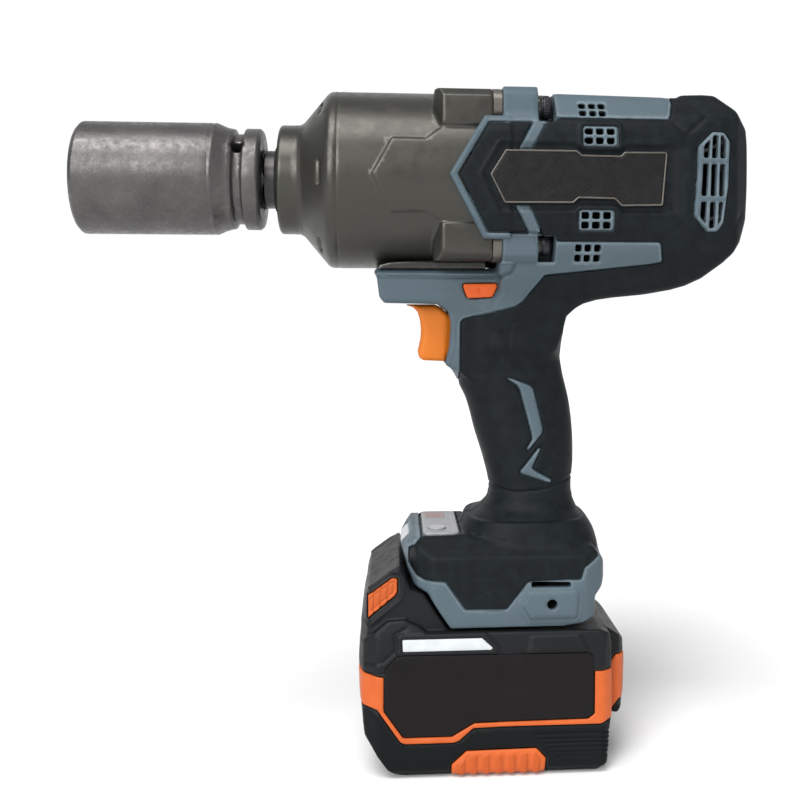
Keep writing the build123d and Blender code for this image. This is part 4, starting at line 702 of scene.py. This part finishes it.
def build_screw():
    v = Vol(-17.6, 25.2, LUG_Y - 5.8, LUG_Y + 5.8, AZ + LUG_Z - 5.8, AZ + LUG_Z + 5.8, 0.3)
    prof = [(-17.0, -2.0), (-17.0, 2.4), (-16.4, 2.85), (18.3, 2.85), (18.3, 5.0), (19.6, 5.0), (19.9, 4.6), (20.5, 4.6), (20.8, 5.0), (23.3, 5.0), (24.3, 4.2), (24.3, -2.0)]
    f = revolve(v, rp(prof, 0.2), LUG_Y, AZ + LUG_Z)
    y, z = v.Y - F(LUG_Y), v.Z - F(AZ + LUG_Z)
    th = np.arctan2(y, z)
    f = f - F(0.12) * np.sin(th * 30) * ss(20.9, 21.3, v.X) * ss(23.2, 22.8, np.broadcast_to(v.X, v.X.shape)) * ss(4.2, 4.6, np.sqrt(y * y + z * z))
    hx = None
    for k in range(3):
        t = math.radians(60 * k)
        d = np.abs(y * F(math.cos(t)) + z * F(math.sin(t))) - F(2.5)
        hx = d if hx is None else np.maximum(hx, d)
    return solid(v, rmax(f, -np.maximum(hx, F(21.3) - v.X), 0.2), 0.02)


def build_plate():
    v = Vol(-3.2, 72.2, -41.0, -38.8, 231.6, 256.4, 0.32)
    out = poly(v.X, v.Z, rp(NAMEPLATE, 0.9))
    slab = np.maximum(np.abs(v.Y + F(40.0)) - F(0.55), out)
    rim = rmax(np.maximum(out, -(out + F(0.75))), np.abs(v.Y + F(40.0)) - F(0.62), 0.2)
    face = rmax(out + F(0.72), np.abs(v.Y + F(39.85)) - F(0.5), 0.15)
    del slab
    return solid(v, rim, 0.01), solid(v, face, 0.01)


# ---------------------------------------------------------------- battery
B_WIDE = [(-54.9, 47.1), (-54.2, 54.6), (-52.6, 55.8), (-42.6, 63.4), (-35.7, 63.8), (-30.0, 61.2), (-26.6, 58.6), (44.6, 58.6), (48.6, 56.9), (50.1, 52.0), (50.1, 22.0), (49.0, 18.5), (48.4, 10.4),
          (47.7, 4.1), (43.6, 0.0), (-36.1, 0.0), (-40.1, 1.2), (-42.4, 3.3), (-51.9, 16.8), (-52.5, 19.4), (-53.4, 26.9), (-54.2, 35.6), (-54.6, 42.5)]
B_UP = [(-37.9, 85.4), (-50.6, 76.4), (-51.8, 72.9), (-52.6, 67.2), (-53.8, 62.3), (-53.8, 50.0), (-10.0, 50.0), (-18.2, 59.0), (-22.7, 65.7), (-27.6, 73.2), (-33.3, 75.5), (-36.2, 81.8)]
B_BACK = [(44.0, 22.0), (53.6, 20.5), (55.7, 21.8), (56.6, 29.2), (57.2, 41.2), (56.7, 50.7), (55.1, 52.7), (48.8, 56.9), (44.0, 57.0)]
B_SEC = [(34.0, 0.0), (37.2, 3.4), (38.0, 9.0), (38.0, 51.0), (36.9, 57.6), (34.6, 66.0)]
B_PLAN = [(-55.0, 24.0), (-52.5, 33.0), (-46.5, 38.0), (45.5, 38.0), (49.6, 34.5), (50.4, 28.0), (50.4, -28.0), (49.6, -34.5), (45.5, -38.0), (-46.5, -38.0), (-52.5, -33.0), (-55.0, -24.0)]
ORANGE = [(-60.0, 43.2), (-44.0, 41.6), (-44.0, 27.8), (-36.2, 17.0), (-16.6, 17.0), (-7.4, 22.3), (39.2, 22.8), (41.8, 24.6), (41.9, 42.1), (50.3, 42.1), (52.8, 45.3), (60.0, 45.3),
          (60.0, 26.4), (54.0, 26.4), (50.6, 21.9), (47.5, 21.4), (44.3, 20.2), (3.0, 20.2), (-7.8, 19.9), (-13.5, 15.0), (-15.8, 14.2), (-35.8, 14.2), (-37.6, 15.1), (-46.9, 28.4), (-60.0, 30.2)]
PADO = [(-16.8, 5.4), (-10.8, 11.0), (18.0, 11.4), (22.0, 7.1), (21.4, -3.0), (-16.8, -3.0)]
B_LABEL = [(-36.4, 50.2), (-39.2, 49.5), (-43.6, 45.1), (-43.8, 28.0), (-36.2, 17.2), (-16.6, 17.2), (-7.4, 22.5), (39.2, 23.0), (41.4, 24.8), (41.7, 48.0), (40.0, 49.7)]
STRIP = [(-36.8, 56.5), (-4.4, 56.6), (0.1, 52.6), (-0.6, 51.8), (-36.6, 51.7)]
LATCH = [(-50.6, 73.4), (-41.0, 80.3), (-38.8, 80.2), (-38.8, 74.6), (-39.7, 73.0), (-51.9, 63.2), (-51.5, 71.5)]


def build_battery():
    v = Vol(-56.2, 58.6, -39.8, 39.8, -1.2, 86.6, 0.5)
    X, A, Z = v.X, v.A, v.Z
    wide = rmax(rmax(poly(X, Z, rp(B_WIDE, 1.2)), poly(A, Z, rp(sym(B_SEC), 1.6)), 1.2), poly(X, A, rp(B_PLAN, 3.0)), 1.2)
    up = rmax(rmax(poly(X, Z, rp(B_UP, 1.0)), A - F(33.2), 1.2), poly(X, A, rp([(-54.5, 22.0), (-50.5, 33.4), (0.0, 33.4), (0.0, -33.4), (-50.5, -33.4), (-54.5, -22.0)], 3.0)), 1.0)
    back = rmax(poly(X, Z, rp(B_BACK, 1.4)), poly(X, A, rp([(40.0, 27.0), (54.0, 27.0), (57.6, 22.0), (57.6, -22.0), (54.0, -27.0), (40.0, -27.0)], 2.0)), 1.4)
    f = rmin(rmin(wide, up, 0.8), back, 0.8)
    side = ss(31.0, 35.0, A)
    lab = poly(X, Z, rp(B_LABEL, 1.0))
    d = F(0.35) * ss(0.25, -0.15, lab)
    st = poly(X, Z, rp(STRIP, 0.4))
    frame_ = poly(X, Z, rp([(-39.2, 58.4), (-2.8, 58.5), (2.9, 52.8), (1.2, 50.3), (-39.0, 50.3)], 0.7))
    d = d - F(0.8) * ss(0.35, -0.35, frame_) * (1 - ss(0.25, -0.15, lab)) + F(1.05) * ss(0.3, -0.2, st)
    stepp = poly(X, Z, rp([(14.6, 50.2), (15.8, 56.6), (36.0, 56.8), (39.6, 50.2)], 0.8))
    d = d - F(0.8) * ss(0.35, -0.35, stepp) * (1 - ss(0.25, -0.15, lab))
    d = d + F(0.7) * gauss(line_dist(X, Z, [(-55.0, 46.6), (-44.6, 47.4), (-38.8, 52.6), (-39.6, 58.0), (-35.0, 60.6)]), 0.7)
    diag = poly(X, Z, [(14.8, 18.6), (27.8, 6.6), (60.0, 6.6), (60.0, 18.6)])
    rib = F(0.85) * ss(0.0, 0.8, np.cos((Z - F(7.6)) * F(2 * math.pi / 1.8))) * ss(0.3, -0.3, diag) * ss(6.2, 7.2, Z) * ss(18.4, 17.6, np.broadcast_to(Z, Z.shape))
    f = f + d * side + rib * ss(24.0, 30.0, np.maximum(A, X))
    f = f + F(0.22) * gauss(Z - F(48.6), 0.3) * ss(44.5, 46.0, np.maximum(X, -X - F(2.0)))
    lt = poly(X, Z, rp(LATCH, 0.8))
    # latch frame
    f = f + (F(0.6) * gauss(lt - F(1.3), 0.45) - F(0.6) * gauss(lt - F(2.6), 0.6)) * ss(28.0, 32.0, A)
    pocket = rmax(lt - F(0.4), F(20.6) - A, 0.3)
    pocket = np.maximum(pocket, -X - F(50.9))
    rail = rmin(rbox(v, -31.0, 21.6, -27.0, 27.0, 63.6, 72.2, 0.5), rbox(v, -30.0, 21.6, -23.8, 23.8, 57.0, 64.4, 0.4), 0.2)
    inner = rbox(v, -28.0, 2.0, -21.4, 21.4, 57.0, 69.8, 0.5)
    rail = np.maximum(rail, -inner)
    for y in (4.0, 11.0):
        rail = np.maximum(rail, -np.maximum(np.maximum(np.abs(A - F(y)) - F(1.6), F(7.6) - X), np.abs(Z - F(67.8)) - F(3.2)))
    og = poly(X, Z, rp(ORANGE, 0.5))
    pad = poly(X, Z, rp(PADO, 0.7))
    oz = np.minimum(og, np.maximum(pad, F(0.9) - Z))
    body = rmax(f, -oz + F(0.15), 0.35)
    core = f + F(1.2)
    body = np.minimum(body, core)
    body = np.minimum(body, rail)
    body = rmax(body, -pocket, 0.4)
    fo = f - F(0.3) * ss(0.0, -0.6, og) - F(0.8) * ss(0.2, -0.9, pad) * side
    bars = ss(-0.25, 0.35, np.cos((X - F(2.6)) * F(2 * math.pi / 5.1)))
    fo = fo - F(0.75) * bars * ss(-1.5, -2.1, pad) * side
    band = rmax(fo, oz + F(0.1), 0.4)
    band = np.maximum(band, -(f + F(1.1)))
    keepz = np.maximum(-Z, -1.0)
    body = np.maximum(body, -Z)
    band = np.maximum(band, -Z)
    low = np.maximum(body, Z - F(43.0))
    top = np.maximum(body, F(43.06) - Z)
    return solid(v, low, 0.03), solid(v, top, 0.03), solid(v, band, 0.02)


def build_label():
    v = Vol(-45.0, 43.0, -38.9, -36.9, 16.0, 58.0, 0.36)
    film = rmax(poly(v.X, v.Z, rp(B_LABEL, 1.0)) + F(0.15), np.abs(v.Y + F(37.75)) - F(0.28), 0.12)
    st = rmax(poly(v.X, v.Z, rp(STRIP, 0.4)) + F(0.05), np.abs(v.Y + F(37.45) + (v.Z - F(54.0)) * F(-0.17)) - F(0.4), 0.15)
    return solid(v, film, 0.01), solid(v, st, 0.01)


def build_latch():
    v = Vol(-51.6, -38.0, -33.6, -23.4, 62.5, 81.4, 0.3)
    f = rmax(poly(v.X, v.Z, rp(LATCH, 0.9)), np.abs(v.Y + F(28.3)) - F(4.3), 0.6)
    f = np.maximum(f, -v.X - F(50.6))
    k = (v.X + F(50.0)) * F(0.3)
    for x in (-48.2, -45.4, -42.6):
        f = f + F(0.5) * gauss(v.X - F(x), 0.32) * ss(-31.6, -32.4, np.broadcast_to(v.Y, v.Y.shape))
    f = f + F(0.35) * gauss(poly(v.X, v.Z, rp(LATCH, 0.9)) + F(1.5), 0.3) * ss(-31.6, -32.4, np.broadcast_to(v.Y, v.Y.shape))
    return solid(v, f, 0.02)


# ---------------------------------------------------------------- assemble
shell, skin = build_tool_half(True)
piece("vis_housing_left", shell, GREY, "tool", ["housing_left"])
piece("vis_grip_left", skin, BLACK, "tool", ["grip_left"])
shell, skin = build_tool_half(False)
piece("vis_housing_right", shell, GREY, "tool", ["housing_right"])
piece("vis_grip_right", skin, BLACK, "tool", ["grip_right"])
piece("vis_hammer_case", build_case(), CASE, "tool", ["hammer_case"])
piece("vis_case_lip", build_lip(), LIP, "tool")
piece("vis_socket", build_socket(), SOCKET, "socket", ["impact_socket"])
piece("vis_trigger", build_trigger(), ORANGE_T, "trigger", ["trigger"])
piece("vis_selector", build_selector(), ORANGE_F, "selector", ["direction_selector"])
sc = build_screw()
for k, (my, mz) in enumerate(((1, 1), (-1, 1), (1, -1), (-1, -1))):
    p, tris, quads, nrm, edge, occlusion = sc
    q = p.copy()
    q[:, 1] = p[:, 1] - LUG_Y + my * LUG_Y
    q[:, 2] = p[:, 2] - LUG_Z + mz * LUG_Z
    piece(f"vis_case_screw_{k + 1}", (q, tris, quads, nrm, edge, occlusion), SCREW, "tool", ["case_screws"] if k == 0 else ())
rim, face = build_plate()
piece("vis_plate_rim_left", rim, PLATE_RIM, "tool", ["nameplates"])
piece("vis_plate_left", face, PLATE, "tool")
piece("vis_plate_rim_right", flip(rim), PLATE_RIM, "tool")
piece("vis_plate_right", flip(face), PLATE, "tool")
low, top, band = build_battery()
piece("vis_battery_base", low, BATT_LOW, "battery", ["battery_base"])
piece("vis_battery_top", top, BATT_BLACK, "battery", ["battery_top"])
piece("vis_battery_bumper", band, ORANGE_B, "battery", ["battery_bumper"])
film, strip = build_label()
piece("vis_label_left", film, LABEL, "battery", ["battery_labels"])
piece("vis_strip_left", strip, WHITE, "battery")
piece("vis_label_right", flip(film), LABEL, "battery")
piece("vis_strip_right", flip(strip), WHITE, "battery")
lt = build_latch()
piece("vis_latch_left", lt, ORANGE_B, "latch_left", ["latch_left"])
piece("vis_latch_right", flip(lt), ORANGE_B, "latch_right", ["latch_right"])


def build_panel():
    """Speed-mode panel lying across the top of the foot, its print and its button."""
    v = Vol(-29.0, -12.0, -24.6, 24.6, 94.6, 97.2, 0.22)
    out = rrect(v.X, v.Y, -28.0, -13.0, -23.5, 23.5, 2.6)
    b = rmax(out, np.abs(v.Z - F(95.85)) - F(0.62), 0.25)
    inner = rrect(v.X, v.Y, -27.6, -15.4, -20.8, 20.8, 1.4)
    b = b + F(0.22) * gauss(inner, 0.26) * ss(96.0, 96.3, v.Z)
    hole = np.sqrt((v.X + F(21.9)) ** 2 + (v.Y + F(13.0)) ** 2) - F(3.85)
    b = rmax(b, -hole, 0.15)
    for y in (0.5, 5.0):
        b = b + F(0.18) * ss(0.15, -0.15, np.sqrt((v.X + F(22.0)) ** 2 + (v.Y - F(y)) ** 2) - F(0.9)) * ss(96.0, 96.3, v.Z)
    s1 = solid(v, b, 0.01)
    mk = rmax(rrect(v.X, v.Y, -26.4, -17.6, 9.0, 19.2, 0.8), np.abs(v.Z - F(96.5)) - F(0.12), 0.05)
    s2 = solid(v, mk, 0.01)
    w = Vol(-26.6, -17.2, -17.8, -8.2, 95.6, 97.6, 0.14)
    r = np.sqrt((w.X + F(21.9)) ** 2 + (w.Y + F(13.0)) ** 2)
    bt = rmax(r - F(3.7), np.abs(w.Z - F(96.62)) - F(0.55), 0.3)
    bt = rmax(bt, F(9.2) - np.sqrt(r * r + (w.Z - F(106.05)) ** 2), 0.15)
    return s1, s2, solid(w, bt, 0.01)


pn, mk, bt = build_panel()
piece("vis_mode_panel", pn, PANEL, "tool", ["mode_panel"])
piece("vis_mode_mark", mk, PANEL_MARK, "tool")
piece("vis_mode_button", bt, BUTTON, "mode_button", ["mode_button"])

# ---------------------------------------------------------------- floor, light, camera
FLOOR = surface("studio_floor", (0.84, 0.84, 0.84), 0.7, grain=300.0, depth=0.00005, strength=0.1, vary=0.015, patch=3.0, rvar=0.03, wear=0.0, hollow_shade=0.0)
seg = 72
me = bpy.data.meshes.new("floor")
verts = [(0.0, 0.0, 0.0)]
faces = []
rings = (0.4, 1.2, 4.0, 14.0)
for rr in rings:
    verts += [(rr * math.cos(2 * math.pi * i / seg), rr * math.sin(2 * math.pi * i / seg), 0.0) for i in range(seg)]
faces += [(0, 1 + i, 1 + (i + 1) % seg) for i in range(seg)]
for j in range(len(rings) - 1):
    a, b = 1 + j * seg, 1 + (j + 1) * seg
    faces += [(a + i, b + i, b + (i + 1) % seg, a + (i + 1) % seg) for i in range(seg)]
me.from_pydata(verts, [], faces)
me.materials.append(FLOOR)
floor = bpy.data.objects.new("floor", me)
bpy.context.scene.collection.objects.link(floor)

scene = bpy.context.scene
world = bpy.data.worlds.new("studio")
world.use_nodes = True
wn = world.node_tree
sky = wn.nodes["Background"]
way = wn.nodes.new("ShaderNodeTexCoord")
part = wn.nodes.new("ShaderNodeSeparateXYZ")
fade = wn.nodes.new("ShaderNodeMapRange")
fade.interpolation_type = "SMOOTHSTEP"
for k, val in enumerate((0.45, 0.86, 0.36, 1.02)):
    fade.inputs[k + 1].default_value = val
wn.links.new(way.outputs["Generated"], part.inputs[0])
wn.links.new(part.outputs["Y"], fade.inputs[0])
wn.links.new(fade.outputs[0], sky.inputs["Strength"])
sky.inputs["Color"].default_value = (0.985, 0.99, 1.0, 1)
scene.world = world


def lamp(name, frm, power, spread, color=(1, 1, 1)):
    """Broad distant softbox shining from the direction frm."""
    li = bpy.data.lights.new(name, "SUN")
    li.energy = power
    li.angle = math.radians(spread)
    li.color = color
    ob = bpy.data.objects.new(name, li)
    bpy.context.scene.collection.objects.link(ob)
    ob.location = Vector(frm) * 2.0
    ob.rotation_euler = (-Vector(frm)).to_track_quat("-Z", "Y").to_euler()
    return ob


lamp("front", (-0.42, -0.83, 0.37), 2.25, 30.0)
lamp("overhead", (-0.22, -0.42, 1.0), 2.5, 34.0)
lamp("side", (0.86, -0.45, 0.25), 0.35, 50.0)

cam = bpy.data.cameras.new("camera")
cam.sensor_width = 36.0
cam.lens = 1093.0 / 800.0 * 36.0
cam.shift_x, cam.shift_y = -0.109, -0.131
cam.clip_start = 0.01
co = bpy.data.objects.new("camera", cam)
scene.collection.objects.link(co)
psi, ro = math.radians(4.8), math.radians(0.2)
fw = Vector((math.sin(psi), math.cos(psi), 0))
rt = Vector((math.cos(psi), -math.sin(psi), 0))
upv = Vector((0, 0, 1))
xc = rt * math.cos(ro) + upv * math.sin(ro)
yc = upv * math.cos(ro) - rt * math.sin(ro)
mw = Matrix((xc, yc, -fw)).transposed().to_4x4()
mw.translation = Vector((-0.040, -0.480, 0.19585))
co.matrix_world = mw
scene.camera = co
scene.view_settings.view_transform = "Standard"
scene.view_settings.look = "None"
scene.view_settings.exposure = 0.0

print("faces", COUNTS)
